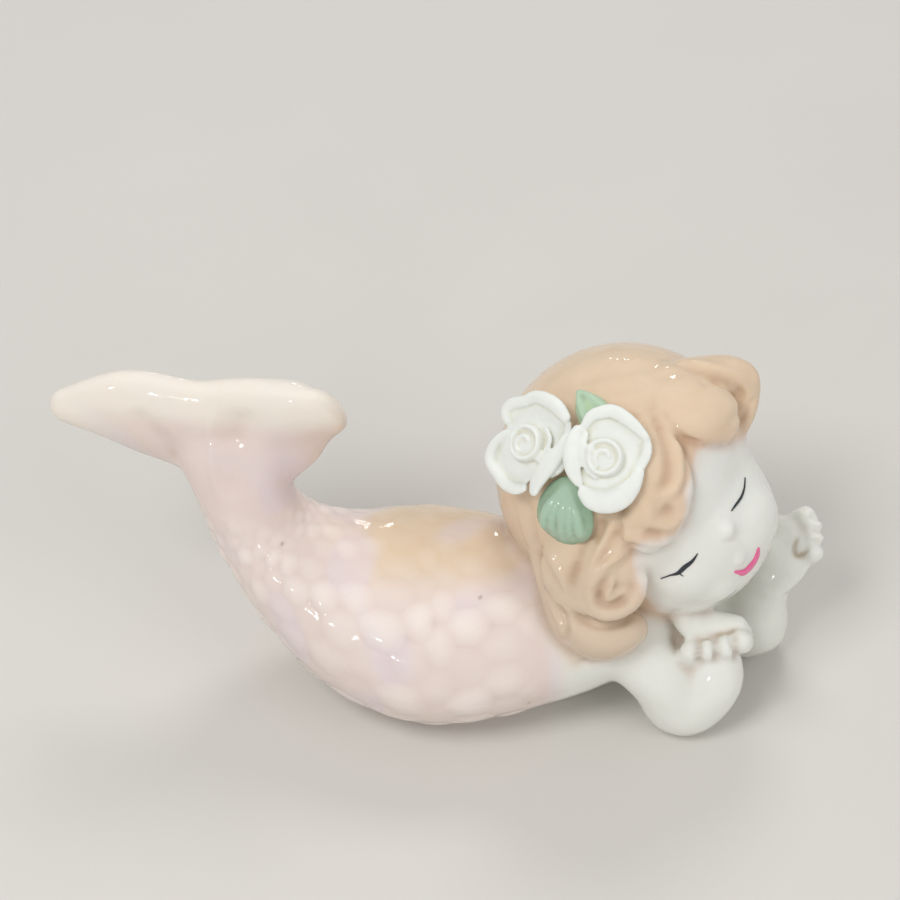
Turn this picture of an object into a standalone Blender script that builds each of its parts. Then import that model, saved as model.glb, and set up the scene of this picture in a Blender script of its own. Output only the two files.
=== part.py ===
"""Glazed porcelain mermaid, lying on her front with her chin on her hands.

The figure is one fired piece. Two hand-made roses and two leaves are applied to her hair.
Frame: metres, +Z up, origin at the middle of the flat under her belly, +X towards the head,
-Y towards the side that shows her face.
"""

import math

import bmesh
import bpy
from mathutils import Matrix, Vector

# Trunk and tail: centre, half width and half height, from the chest to the fork of the fluke
CHEST = (0.0280, 0.0028, 0.0130)
CHEST_HALF_WIDTH = 0.0092
CHEST_HALF_HEIGHT = 0.0080
BACK = (0.0150, -0.0005, 0.0122)
BACK_HALF_WIDTH = 0.0128
BACK_HALF_HEIGHT = 0.0104
HIP = (0.0, 0.0, 0.0111)
HIP_HALF_WIDTH = 0.0163
HIP_HALF_HEIGHT = 0.0119
THIGH = (-0.0096, 0.0007, 0.0135)
THIGH_HALF_WIDTH = 0.0143
THIGH_HALF_HEIGHT = 0.0112
KNEE = (-0.0170, 0.0026, 0.0169)
KNEE_HALF_WIDTH = 0.0104
KNEE_HALF_HEIGHT = 0.0086
BEND = (-0.0225, 0.0050, 0.0213)
BEND_HALF_WIDTH = 0.0073
BEND_HALF_HEIGHT = 0.0066
STALK = (-0.0255, 0.0068, 0.0280)
STALK_HALF_WIDTH = 0.0061
STALK_HALF_DEPTH = 0.0063
FORK = (-0.0266, 0.0082, 0.0345)
FORK_HALF_DEPTH = 0.0050
FORK_HALF_WIDTH = 0.0080

# The low part of the belly that carries her weight, as a ball under the trunk
BELLY = (0.0030, 0.0025, 0.0060)
BELLY_RADII = (0.0170, 0.0115, 0.0072)

# Fluke, as (centre, half width, half thickness): two lobes that leave the fork, and their top edge
LEFT_LOBE = (
    ((-0.0276, 0.0084, 0.0362), 0.0086, 0.0031),
    ((-0.0335, 0.0092, 0.0378), 0.0073, 0.0031),
    ((-0.0403, 0.0102, 0.0392), 0.0063, 0.0030),
    ((-0.0484, 0.0112, 0.0388), 0.0026, 0.0020),
)
RIGHT_LOBE = (
    ((-0.0262, 0.0075, 0.0312), 0.0066, 0.0031),
    ((-0.0202, 0.0080, 0.0385), 0.0075, 0.0031),
    ((-0.0143, 0.0068, 0.0421), 0.0045, 0.0021),
)
FLUKE_EDGE = (
    ((-0.0296, 0.0090, 0.0416), 0.0030, 0.0024),
    ((-0.0245, 0.0084, 0.0419), 0.0037, 0.0028),
    ((-0.0180, 0.0076, 0.0422), 0.0037, 0.0028),
)

# Head: the ball of the hair, the ball of the face, and where the features lie on the face
HAIR_CENTRE = (0.0242, 0.0078, 0.0299)
HAIR_RADIUS = 0.0170
FACE_CENTRE = (0.0301, 0.0047, 0.0262)
FACE_RADIUS = 0.0139
TO_NOSE = (0.43, -0.75, 0.50)
TO_MOUTH = (0.57, -0.80, 0.17)
TO_CHIN = (0.43, -0.87, -0.19)
TO_NEAR_CHEEK = (0.10, -0.99, 0.00)
TO_FAR_CHEEK = (0.80, -0.46, 0.32)
NOSE_RADIUS = 0.0014
LIP_RADIUS = 0.0013
LIP_RISE = 0.0004
CHIN_RADIUS = 0.0042
CHIN_RISE = 0.0006
CHEEK_RADIUS = 0.0068
CHEEK_RISE = 0.0005
NECK_RADIUS = 0.0064
# The far temple, pressed in under the hair
FAR_TEMPLE = (0.0435, 0.0086, 0.0303)
TEMPLE_DEPTH = 0.0020
TEMPLE_REACH = 0.0055

# Locks of hair: centre, half width and half thickness along each
FORELOCK = (
    ((0.0240, 0.0064, 0.0436), 0.0034, 0.0014),
    ((0.0284, 0.0048, 0.0450), 0.0048, 0.0021),
    ((0.0326, 0.0046, 0.0444), 0.0050, 0.0027),
    ((0.0352, 0.0050, 0.0429), 0.0040, 0.0027),
)
FAR_LOCK = (
    ((0.0280, 0.0094, 0.0452), 0.0026, 0.0016),
    ((0.0330, 0.0106, 0.0446), 0.0032, 0.0022),
    ((0.0382, 0.0120, 0.0428), 0.0030, 0.0024),
    ((0.0388, 0.0094, 0.0398), 0.0022, 0.0019),
    ((0.0382, 0.0076, 0.0370), 0.0013, 0.0012),
)
TEMPLE_LOCK = (
    ((0.0250, 0.0012, 0.0452), 0.0020, 0.0009),
    ((0.0280, -0.0024, 0.0432), 0.0024, 0.0012),
    ((0.0290, -0.0054, 0.0406), 0.0025, 0.0013),
    ((0.0276, -0.0076, 0.0374), 0.0029, 0.0013),
    ((0.0250, -0.0087, 0.0346), 0.0029, 0.0013),
)
CROWN_LOCK = (
    ((0.0200, 0.0020, 0.0462), 0.0022, 0.0008),
    ((0.0236, -0.0024, 0.0446), 0.0026, 0.0012),
    ((0.0256, -0.0056, 0.0412), 0.0026, 0.0014),
    ((0.0254, -0.0080, 0.0376), 0.0026, 0.0014),
)
SIDE_LOCK = (
    ((0.0226, -0.0066, 0.0372), 0.0024, 0.0012),
    ((0.0214, -0.0080, 0.0338), 0.0026, 0.0016),
    ((0.0202, -0.0090, 0.0304), 0.0026, 0.0020),
    ((0.0194, -0.0096, 0.0274), 0.0024, 0.0020),
)
BACK_LOCK = (
    ((0.0166, -0.0054, 0.0340), 0.0026, 0.0010),
    ((0.0156, -0.0068, 0.0300), 0.0030, 0.0018),
    ((0.0158, -0.0080, 0.0266), 0.0032, 0.0022),
    ((0.0182, -0.0094, 0.0244), 0.0030, 0.0024),
)
LOWER_LOBE = (
    ((0.0150, -0.0070, 0.0232), 0.0030, 0.0022),
    ((0.0172, -0.0094, 0.0198), 0.0042, 0.0029),
    ((0.0208, -0.0105, 0.0184), 0.0044, 0.0031),
    ((0.0242, -0.0098, 0.0190), 0.0032, 0.0026),
)
NAPE_LOCK = (
    ((0.0126, -0.0028, 0.0266), 0.0018, 0.0012),
    ((0.0142, -0.0070, 0.0228), 0.0017, 0.0014),
    ((0.0156, -0.0100, 0.0184), 0.0014, 0.0012),
    ((0.0174, -0.0114, 0.0156), 0.0010, 0.0009),
)

# The curl under her ear, its heart, and the hair that fills its middle
CURL = (
    ((0.0204, -0.0086, 0.0316), 0.0011, 0.0010),
    ((0.0190, -0.0098, 0.0296), 0.0012, 0.0011),
    ((0.0186, -0.0103, 0.0274), 0.0013, 0.0012),
    ((0.0194, -0.0110, 0.0258), 0.0014, 0.0013),
    ((0.0212, -0.0116, 0.0251), 0.0014, 0.0013),
    ((0.0232, -0.0114, 0.0253), 0.0013, 0.0012),
    ((0.0248, -0.0110, 0.0269), 0.0011, 0.0011),
    ((0.0254, -0.0102, 0.0290), 0.0009, 0.0009),
)
CURL_HEART = (
    ((0.0216, -0.0096, 0.0310), 0.0010, 0.0009),
    ((0.0208, -0.0104, 0.0286), 0.0011, 0.0010),
    ((0.0216, -0.0108, 0.0272), 0.0011, 0.0010),
    ((0.0230, -0.0108, 0.0276), 0.0009, 0.0009),
)
CURL_MIDDLE = (0.0228, -0.0066, 0.0286)
CURL_MIDDLE_RADII = (0.0042, 0.0042, 0.0048)

# Arms, from the shoulder over the elbow on the table to the wrist
SHOULDER_RADIUS = 0.0046
UPPER_ARM_RADIUS = 0.0043
ELBOW_RADIUS = 0.0048
FOREARM_RADIUS = 0.0043
WRIST_RADIUS = 0.0035
NEAR_SHOULDER = (0.0245, -0.0070, 0.0128)
NEAR_UPPER_ARM = (0.0288, -0.0092, 0.0090)
NEAR_ELBOW = (0.0322, -0.0094, 0.0040)
NEAR_FOREARM = (0.0358, -0.0090, 0.0086)
NEAR_WRIST = (0.0350, -0.0062, 0.0126)
FAR_SHOULDER = (0.0335, 0.0085, 0.0120)
FAR_UPPER_ARM = (0.0380, 0.0068, 0.0078)
FAR_ELBOW = (0.0424, 0.0040, 0.0039)
FAR_FOREARM = (0.0428, 0.0046, 0.0090)
FAR_WRIST = (0.0440, 0.0052, 0.0126)

# Hands, as limbs of (centre, half width, half thickness): thumb and palm, then the curled fingers
NEAR_HAND = (
    (
        ((0.0312, -0.0056, 0.0174), 0.0015, 0.0013),
        ((0.0325, -0.0060, 0.0162), 0.0021, 0.0015),
        ((0.0345, -0.0062, 0.0150), 0.0022, 0.0016),
    ),
    (
        ((0.0326, -0.0056, 0.0156), 0.0021, 0.0014),
        ((0.0355, -0.0061, 0.0150), 0.0024, 0.0016),
        ((0.0389, -0.0063, 0.0151), 0.0019, 0.0015),
    ),
    (
        ((0.0333, -0.0068, 0.0134), 0.0014, 0.0014),
        ((0.0327, -0.0087, 0.0129), 0.0014, 0.0014),
        ((0.0326, -0.0095, 0.0142), 0.0013, 0.0013),
    ),
    (
        ((0.0354, -0.0066, 0.0136), 0.0014, 0.0014),
        ((0.0348, -0.0086, 0.0131), 0.0014, 0.0014),
        ((0.0347, -0.0096, 0.0146), 0.0013, 0.0013),
    ),
    (
        ((0.0377, -0.0065, 0.0138), 0.0014, 0.0014),
        ((0.0373, -0.0083, 0.0134), 0.0015, 0.0014),
        ((0.0371, -0.0093, 0.0148), 0.0014, 0.0013),
    ),
    (
        ((0.0394, -0.0060, 0.0143), 0.0014, 0.0014),
        ((0.0394, -0.0077, 0.0140), 0.0014, 0.0014),
        ((0.0392, -0.0086, 0.0153), 0.0013, 0.0013),
    ),
)
FAR_HAND = (
    (
        ((0.0436, 0.0041, 0.0129), 0.0033, 0.0025),
        ((0.0450, 0.0055, 0.0152), 0.0043, 0.0026),
        ((0.0459, 0.0072, 0.0170), 0.0043, 0.0024),
        ((0.0463, 0.0084, 0.0184), 0.0036, 0.0019),
    ),
    (
        ((0.0466, 0.0083, 0.0184), 0.0015, 0.0015),
        ((0.0481, 0.0090, 0.0197), 0.0015, 0.0015),
        ((0.0487, 0.0085, 0.0211), 0.0013, 0.0013),
    ),
    (
        ((0.0474, 0.0075, 0.0176), 0.0015, 0.0015),
        ((0.0490, 0.0080, 0.0189), 0.0015, 0.0015),
        ((0.0497, 0.0074, 0.0203), 0.0013, 0.0013),
    ),
    (
        ((0.0476, 0.0066, 0.0167), 0.0015, 0.0015),
        ((0.0493, 0.0068, 0.0178), 0.0015, 0.0015),
        ((0.0499, 0.0062, 0.0191), 0.0013, 0.0013),
    ),
    (
        ((0.0474, 0.0054, 0.0154), 0.0017, 0.0016),
        ((0.0490, 0.0057, 0.0163), 0.0016, 0.0015),
        ((0.0498, 0.0050, 0.0175), 0.0014, 0.0014),
    ),
)

# Applied flowers and leaves: where they sit on the ball of the hair
TO_FRONT_ROSE = (-0.205, -0.620, 0.757)
TO_BACK_ROSE = (-0.711, -0.340, 0.615)
TO_VIEWER = (0.0, -0.707, 0.707)
BACK_ROSE_LEAN = 0.30
ROSE_RADIUS = 0.0067
ROSE_SHORT_RADIUS = 0.0047
ROSE_HEIGHT = 0.0046
ROSE_FOOT_RADIUS = 0.0026
ROSE_FOOT_HEIGHT = 0.0015
ROSE_SINK = 0.0006
ROSE_GAP = 0.0006
PETAL_THICKNESS = 0.0008
PETALS = 5
INNER_PETALS = 3
BUD_RADIUS = 0.0019
BUD_TURNS = 1.6
LEAF_HALF_THICKNESS = 0.0005
LEAF_SINK = 0.0003
LOWER_LEAF_START = 0.0046
LOWER_LEAF_HALF_WIDTH = 0.0038
LOWER_LEAF_LENGTH = 0.0072
UPPER_LEAF_START = 0.0022
UPPER_LEAF_HALF_WIDTH = 0.0025
UPPER_LEAF_LENGTH = 0.0056
CLEARANCE = 0.0003

# Surface: the size of the facets that the fused forms are drawn with
CORE_VOXEL = 0.0007
DETAIL_VOXEL = 0.0005
FLOWER_VOXEL = 0.00032
FIGURE_FACES_KEPT = 0.08
ROSE_FACES_KEPT = 0.17

WHITE = (0.86, 0.86, 0.83)
BLUSH = (0.84, 0.72, 0.68)
LEAF_GREEN = (0.36, 0.56, 0.47)


def remove_everything():
    for obj in list(bpy.data.objects):
        bpy.data.objects.remove(obj, do_unlink=True)


def collection(name):
    made = bpy.data.collections.new(name)
    bpy.context.scene.collection.children.link(made)
    return made


def material(name, colour, roughness):
    made = bpy.data.materials.new(name)
    made.use_nodes = True
    shader = made.node_tree.nodes["Principled BSDF"]
    shader.inputs["Base Color"].default_value = (*colour, 1.0)
    shader.inputs["Roughness"].default_value = roughness
    shader.inputs["Metallic"].default_value = 0.0
    return made


def curve_between(rows, steps):
    """A smooth run through rows of numbers, with steps points from each row to the next."""
    out = []
    last = len(rows) - 1
    for i in range(last):
        a, b, c, d = (rows[max(0, min(last, i + k))] for k in (-1, 0, 1, 2))
        for step in range(steps):
            t = step / steps
            out.append([
                q + 0.5 * t * (r - p + t * (2 * p - 5 * q + 4 * r - s + t * (3 * (q - r) + s - p)))
                for p, q, r, s in zip(a, b, c, d)
            ])
    out.append(list(rows[last]))
    return out


def station(centre, along, side, half_width, half_height):
    """The matrix that lays a unit circle across a limb, with its X along side."""
    up = along.cross(side).normalized()
    across = up.cross(along).normalized()
    axes = Matrix((across * half_width, up * half_height, along)).transposed()
    return Matrix.Translation(centre) @ axes.to_4x4()


def round_end(frame, way):
    """Three shrinking stations past the last one of a limb, which make its end round."""
    centre, along, across, wide, high = frame
    reach = min(wide, high)
    out = []
    for turn in (30, 60, 84):
        turned = math.radians(turn)
        shrink = math.cos(turned)
        ahead = centre + along * (way * reach * math.sin(turned))
        out.append((ahead, along, across, wide * shrink, high * shrink))
    return out


def limb(form, stations, side, steps=4, sides=16):
    """A closed, round-ended limb through (point, half width, half height) stations."""
    rows = curve_between([(*point, wide, high) for point, wide, high in stations], steps)
    path = [Vector(row[:3]) for row in rows]
    frames = []
    for i, row in enumerate(rows):
        along = (path[min(i + 1, len(path) - 1)] - path[max(i - 1, 0)]).normalized()
        frames.append((path[i], along, Vector(side), row[3], row[4]))
    frames = round_end(frames[0], -1)[::-1] + frames + round_end(frames[-1], 1)
    placed = [station(*frame) for frame in frames]
    ring = bmesh.ops.create_circle(form, cap_ends=True, segments=sides, radius=1, matrix=placed[0])
    cap = start = ring["verts"][0].link_faces[0]
    for before, after in zip(placed, placed[1:]):
        moved = bmesh.ops.extrude_face_region(form, geom=[cap])["geom"]
        if cap is not start:
            form.faces.remove(cap)
        points = [item for item in moved if isinstance(item, bmesh.types.BMVert)]
        cap = next(item for item in moved if isinstance(item, bmesh.types.BMFace))
        bmesh.ops.transform(form, matrix=after @ before.inverted(), verts=points)


def ball(form, centre, radii, frame=None, sides=24):
    placed = (frame or Matrix()) @ Matrix.Translation(centre) @ Matrix.Diagonal((*radii, 1))
    bmesh.ops.create_uvsphere(form, u_segments=sides, v_segments=sides // 2, radius=1, matrix=placed)


def mesh_of(form, name):
    bmesh.ops.recalc_face_normals(form, faces=form.faces)
    mesh = bpy.data.meshes.new(name)
    form.to_mesh(mesh)
    form.free()
    return mesh


def fused(form, name, voxel, smoothing):
    """One skin over every shell in form, with the creases between them softened."""
    shells = bpy.data.objects.new(name, mesh_of(form, name))
    bpy.context.scene.collection.objects.link(shells)
    skin = shells.modifiers.new("skin", "REMESH")
    skin.mode = "VOXEL"
    skin.voxel_size = voxel
    soften = shells.modifiers.new("soften", "SMOOTH")
    soften.iterations = smoothing
    bpy.context.view_layer.update()
    mesh = bpy.data.meshes.new_from_object(shells.evaluated_get(bpy.context.evaluated_depsgraph_get()))
    bpy.data.objects.remove(shells)
    return mesh


def pressed(mesh, middle, depth, reach):
    """Presses the skin in by depth round a point, fading out over reach."""
    for point in mesh.vertices:
        away = (point.co - Vector(middle)).length / reach
        point.co -= point.normal * (depth * math.exp(-away * away))
    return mesh


def trunk(form):
    """The body from the chest to the fork of the fluke, as one limb that curls up."""
    rows = [
        (CHEST, CHEST_HALF_WIDTH, CHEST_HALF_HEIGHT),
        (BACK, BACK_HALF_WIDTH, BACK_HALF_HEIGHT),
        (HIP, HIP_HALF_WIDTH, HIP_HALF_HEIGHT),
        (THIGH, THIGH_HALF_WIDTH, THIGH_HALF_HEIGHT),
        (KNEE, KNEE_HALF_WIDTH, KNEE_HALF_HEIGHT),
        (BEND, BEND_HALF_WIDTH, BEND_HALF_HEIGHT),
        (STALK, STALK_HALF_WIDTH, STALK_HALF_DEPTH),
        (FORK, FORK_HALF_DEPTH, FORK_HALF_WIDTH),
    ]
    limb(form, rows, side=(0, 1, 0), steps=5, sides=32)
    ball(form, BELLY, BELLY_RADII, sides=40)


def fluke(form):
    """Two lobes that spread from the stalk in a plane that faces -Y, under one top edge."""
    limb(form, LEFT_LOBE, side=(0.2, 0, 1), sides=24)
    limb(form, RIGHT_LOBE, side=(1, 0, -0.4), sides=24)
    limb(form, FLUKE_EDGE, side=(0, 0, 1))


def on_face(direction, height):
    """A point out from the middle of the face, height above its skin."""
    return tuple(Vector(FACE_CENTRE) + Vector(direction).normalized() * (FACE_RADIUS + height))


def swelling(form, direction, radius, rise):
    """A round swelling of the face that stands rise above its skin."""
    ball(form, on_face(direction, rise - radius), (radius,) * 3, sides=16)


def head(form):
    """The round head with its cheeks and chin, and the neck that carries it."""
    ball(form, HAIR_CENTRE, (HAIR_RADIUS,) * 3, sides=40)
    ball(form, FACE_CENTRE, (FACE_RADIUS,) * 3, sides=40)
    swelling(form, TO_NEAR_CHEEK, CHEEK_RADIUS, CHEEK_RISE)
    swelling(form, TO_FAR_CHEEK, CHEEK_RADIUS, CHEEK_RISE)
    swelling(form, TO_CHIN, CHIN_RADIUS, CHIN_RISE)
    neck = [(CHEST, NECK_RADIUS, NECK_RADIUS), (FACE_CENTRE, NECK_RADIUS, NECK_RADIUS)]
    limb(form, neck, side=(0, 1, 0))


def arm(form, points):
    """An arm that bends at the elbow, from the shoulder to the wrist."""
    radii = (SHOULDER_RADIUS, UPPER_ARM_RADIUS, ELBOW_RADIUS, FOREARM_RADIUS, WRIST_RADIUS)
    rows = [(point, radius, radius) for point, radius in zip(points, radii)]
    limb(form, rows, side=(0, 1, 0), steps=4, sides=18)


def hand(form, limbs):
    """A small hand with its fingers curled back towards the palm."""
    for rows in limbs:
        limb(form, rows, side=(0, 1, 1), sides=12)


def lock(form, rows):
    """A flattened lock of hair that lies against the ball of the head."""
    first, last = Vector(rows[0][0]), Vector(rows[-1][0])
    outwards = Vector(rows[len(rows) // 2][0]) - Vector(HAIR_CENTRE)
    limb(form, rows, side=(last - first).cross(outwards), steps=4, sides=14)


def figure_mesh():
    """The whole figure as one skin: large forms first, then face, hair and hands over them."""
    core = bmesh.new()
    trunk(core)
    fluke(core)
    head(core)
    arm(core, (NEAR_SHOULDER, NEAR_UPPER_ARM, NEAR_ELBOW, NEAR_FOREARM, NEAR_WRIST))
    arm(core, (FAR_SHOULDER, FAR_UPPER_ARM, FAR_ELBOW, FAR_FOREARM, FAR_WRIST))
    core_mesh = fused(core, "core", CORE_VOXEL, 7)
    detail = bmesh.new()
    detail.from_mesh(core_mesh)
    ball(detail, on_face(TO_NOSE, 0), (NOSE_RADIUS,) * 3, sides=12)
    swelling(detail, TO_MOUTH, LIP_RADIUS, LIP_RISE)
    hand(detail, NEAR_HAND)
    hand(detail, FAR_HAND)
    for rows in (
        FORELOCK, FAR_LOCK, TEMPLE_LOCK, CROWN_LOCK, SIDE_LOCK, BACK_LOCK, LOWER_LOBE, NAPE_LOCK,
    ):
        lock(detail, rows)
    for rows in (CURL, CURL_HEART):
        limb(detail, rows, side=TO_VIEWER, sides=12)
    ball(detail, CURL_MIDDLE, CURL_MIDDLE_RADII)
    mesh = fused(detail, "mermaid_figure", DETAIL_VOXEL, 2)
    return pressed(mesh, FAR_TEMPLE, TEMPLE_DEPTH, TEMPLE_REACH)


def rose_frame(direction, lean):
    """Local frame of a rose, +Z out of the hair, with its origin under the foot."""
    out = Vector(direction).normalized()
    centre = Vector(HAIR_CENTRE) + out * (HAIR_RADIUS - ROSE_SINK)
    axis = out + Vector(TO_VIEWER) * lean
    return Matrix.Translation(centre) @ axis.to_track_quat("Z", "Y").to_matrix().to_4x4()


def petal(form, frame, angle, reach, width, rise):
    """One petal that leaves the middle at an angle and rises towards its lip."""
    turn = frame @ Matrix.Rotation(angle, 4, "Z")
    half = PETAL_THICKNESS / 2
    rows = []
    for share, wide in ((0.2, 0.35), (0.55, 0.85), (0.85, 1.0), (1.0, 0.8)):
        point = turn @ Vector(((reach - half) * share, 0, ROSE_FOOT_HEIGHT + half + rise * share**1.5))
        rows.append((tuple(point), width * wide, half))
    limb(form, rows, side=turn.to_3x3() @ Vector((0, 1, 0)), steps=3, sides=14)


def bud(form, frame):
    """The coiled strip in the middle of a rose."""
    tall = (ROSE_HEIGHT - ROSE_FOOT_HEIGHT) / 2
    steps = 20
    rows = []
    for i in range(steps + 1):
        angle = 2 * math.pi * BUD_TURNS * i / steps
        out = BUD_RADIUS * (0.25 + 0.75 * i / steps)
        point = frame @ Vector((out * math.cos(angle), out * math.sin(angle), ROSE_HEIGHT - tall))
        rows.append((tuple(point), tall, PETAL_THICKNESS / 2))
    limb(form, rows, side=frame.to_3x3() @ Vector((0, 0, 1)), steps=1, sides=10)


def rose(name, frame, spin):
    """A rose of spread petals round a coiled bud; the short petal points along spin."""
    form = bmesh.new()
    foot_middle = Matrix.Translation((0, 0, CLEARANCE + ROSE_FOOT_HEIGHT / 2))
    bmesh.ops.create_cone(
        form, cap_ends=True, segments=24, radius1=ROSE_FOOT_RADIUS, radius2=ROSE_FOOT_RADIUS,
        depth=ROSE_FOOT_HEIGHT, matrix=frame @ foot_middle,
    )
    cup = ROSE_FOOT_HEIGHT + PETAL_THICKNESS
    ball(form, (0, 0, cup), (ROSE_RADIUS * 0.5, ROSE_RADIUS * 0.5, PETAL_THICKNESS), frame)
    for i in range(PETALS):
        angle = spin + i * 2 * math.pi / PETALS
        reach = ROSE_RADIUS if i else ROSE_SHORT_RADIUS
        petal(form, frame, angle, reach, ROSE_SHORT_RADIUS * 0.55, ROSE_HEIGHT * 0.30)
    for i in range(INNER_PETALS):
        angle = spin + (i + 0.5) * 2 * math.pi / INNER_PETALS
        petal(form, frame, angle, ROSE_RADIUS * 0.62, ROSE_RADIUS * 0.4, ROSE_HEIGHT * 0.48)
    bud(form, frame)
    return fused(form, name, FLOWER_VOXEL, 1)


def leaf(name, middle, way, start, length, half_width, grow):
    """A leaf that follows the ball of the hair, made larger all round by grow."""
    form = bmesh.new()
    outer = HAIR_RADIUS + LEAF_HALF_THICKNESS - LEAF_SINK
    axis = middle.cross(way).normalized()
    rows = []
    for share, wide in ((0.0, 0.55), (0.35, 1.0), (0.7, 0.9), (1.0, 0.35)):
        turned = Matrix.Rotation((start + share * length) / outer, 3, axis) @ middle
        point = Vector(HAIR_CENTRE) + turned * outer
        rows.append((tuple(point), half_width * wide + grow, LEAF_HALF_THICKNESS + grow))
    limb(form, rows, side=axis, steps=3, sides=12)
    return mesh_of(form, name)


def add(name, mesh, into, look=None):
    obj = bpy.data.objects.new(name, mesh)
    into.objects.link(obj)
    if look:
        mesh.materials.clear()
        mesh.materials.append(look)
    mesh.shade_smooth()
    return obj


def cutter(name, mesh, into):
    made = add(name, mesh, into)
    made.hide_render = True
    made.display_type = "WIRE"
    return made


def cut(target, tool):
    made = target.modifiers.new("cut_" + tool.name, "BOOLEAN")
    made.operation = "DIFFERENCE"
    made.solver = "EXACT"
    made.object = tool


def decimate(target, keep):
    made = target.modifiers.new("fewer_faces", "DECIMATE")
    made.ratio = keep


def rose_seat(name, frame, into):
    """The cutter that flattens the hair under a rose."""
    form = bmesh.new()
    radius = ROSE_RADIUS + CLEARANCE
    depth = 2 * ROSE_HEIGHT
    bmesh.ops.create_cone(
        form, cap_ends=True, segments=32, radius1=radius, radius2=radius, depth=depth,
        matrix=frame @ Matrix.Translation((0, 0, depth / 2)),
    )
    return cutter(name, mesh_of(form, name), into)


def table_cutter(into):
    """The cutter that grinds the belly and the elbows flat where they rest."""
    form = bmesh.new()
    side = 16 * HAIR_RADIUS
    bmesh.ops.create_cube(form, size=side, matrix=Matrix.Translation((0, 0, -side / 2)))
    return cutter("table", mesh_of(form, "table"), into)


def main():
    remove_everything()
    parts = collection("porcelain_mermaid")
    tools = collection("cutters")
    porcelain = material("glazed_porcelain", BLUSH, 0.12)
    bisque = material("white_porcelain", WHITE, 0.35)
    green = material("green_porcelain", LEAF_GREEN, 0.15)

    figure = add("mermaid_figure", figure_mesh(), parts, porcelain)
    decimate(figure, FIGURE_FACES_KEPT)
    cut(figure, table_cutter(tools))

    front = Vector(TO_FRONT_ROSE).normalized()
    apart = 2 * math.asin((ROSE_SHORT_RADIUS + ROSE_GAP / 2) / HAIR_RADIUS)
    sideways = front.cross(Vector(TO_BACK_ROSE)).normalized()
    back = Matrix.Rotation(apart, 3, sideways) @ front
    for name, direction, other, lean in (
        ("rose_front", front, back, 0.0),
        ("rose_back", back, front, BACK_ROSE_LEAN),
    ):
        placed = rose_frame(direction, lean)
        towards = placed.to_3x3().inverted() @ (other - direction)
        made = add(name, rose(name, placed, math.atan2(towards.y, towards.x)), parts, bisque)
        decimate(made, ROSE_FACES_KEPT)
        cut(figure, rose_seat(name + "_seat", placed, tools))

    middle = (front + back).normalized()
    for name, way, start, length, half_width in (
        ("leaf_lower", sideways, LOWER_LEAF_START, LOWER_LEAF_LENGTH, LOWER_LEAF_HALF_WIDTH),
        ("leaf_upper", -sideways, UPPER_LEAF_START, UPPER_LEAF_LENGTH, UPPER_LEAF_HALF_WIDTH),
    ):
        add(name, leaf(name, middle, way, start, length, half_width, 0.0), parts, green)
        bed = leaf(name + "_bed", middle, way, start, length, half_width, CLEARANCE)
        cut(figure, cutter(name + "_bed", bed, tools))


main()
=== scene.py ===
"""Looks of the glazed porcelain mermaid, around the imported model.

Each piece is modelled in millimetres in the frame of the CAD model and turned to metres when it
is finished: +X towards the head, -Y towards the photographed side, +Z up.
"""

import math

import bmesh
import bpy
import numpy as np
from mathutils import Matrix, Vector
from mathutils.bvhtree import BVHTree
from mathutils.geometry import intersect_line_plane, intersect_line_sphere


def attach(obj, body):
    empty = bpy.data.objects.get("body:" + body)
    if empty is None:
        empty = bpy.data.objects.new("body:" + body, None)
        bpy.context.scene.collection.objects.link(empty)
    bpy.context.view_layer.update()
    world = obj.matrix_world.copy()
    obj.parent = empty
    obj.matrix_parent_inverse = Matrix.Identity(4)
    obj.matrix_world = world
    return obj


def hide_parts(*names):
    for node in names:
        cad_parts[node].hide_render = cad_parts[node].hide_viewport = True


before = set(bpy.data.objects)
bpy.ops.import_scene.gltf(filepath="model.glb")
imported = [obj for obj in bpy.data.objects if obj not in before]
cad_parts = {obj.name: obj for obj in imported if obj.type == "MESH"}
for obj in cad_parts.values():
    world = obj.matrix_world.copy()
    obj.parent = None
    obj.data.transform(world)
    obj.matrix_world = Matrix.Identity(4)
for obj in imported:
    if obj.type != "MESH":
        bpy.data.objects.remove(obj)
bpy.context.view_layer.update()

MM = 0.001

# Where the photograph was taken from. A place in the view is (right, up) in millimetres on the
# plane through LOOKED_AT that faces the viewer.
LOOKED_AT = Vector((1.33, 15.0, 26.8))
VIEWING_DISTANCE = 320.0
TO_THE_RIGHT = Vector((1.0, 0.0, 0.0))
UPWARDS = Vector((0.0, 1.0, 1.0)).normalized()
TO_VIEWER = Vector((0.0, -1.0, 1.0)).normalized()
VIEWER = LOOKED_AT + TO_VIEWER * VIEWING_DISTANCE

# Trunk and tail: centre, half width, half height
TRUNK = (
    ((28.0, 2.8, 13.0), 9.2, 8.0),
    ((15.0, -0.5, 12.2), 12.8, 10.4),
    ((0.0, 0.0, 11.1), 16.3, 11.9),
    ((-9.6, 0.7, 13.5), 14.3, 11.2),
    ((-17.0, 2.6, 16.9), 10.4, 8.6),
    ((-22.5, 5.0, 21.3), 7.3, 6.6),
    ((-25.5, 6.8, 28.0), 6.1, 6.3),
    ((-26.6, 8.2, 34.5), 5.0, 8.0),
)
# The low part of the belly that carries her weight
BELLY = ((3.0, 2.5, 6.0), (17.0, 11.5, 7.2))
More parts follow.
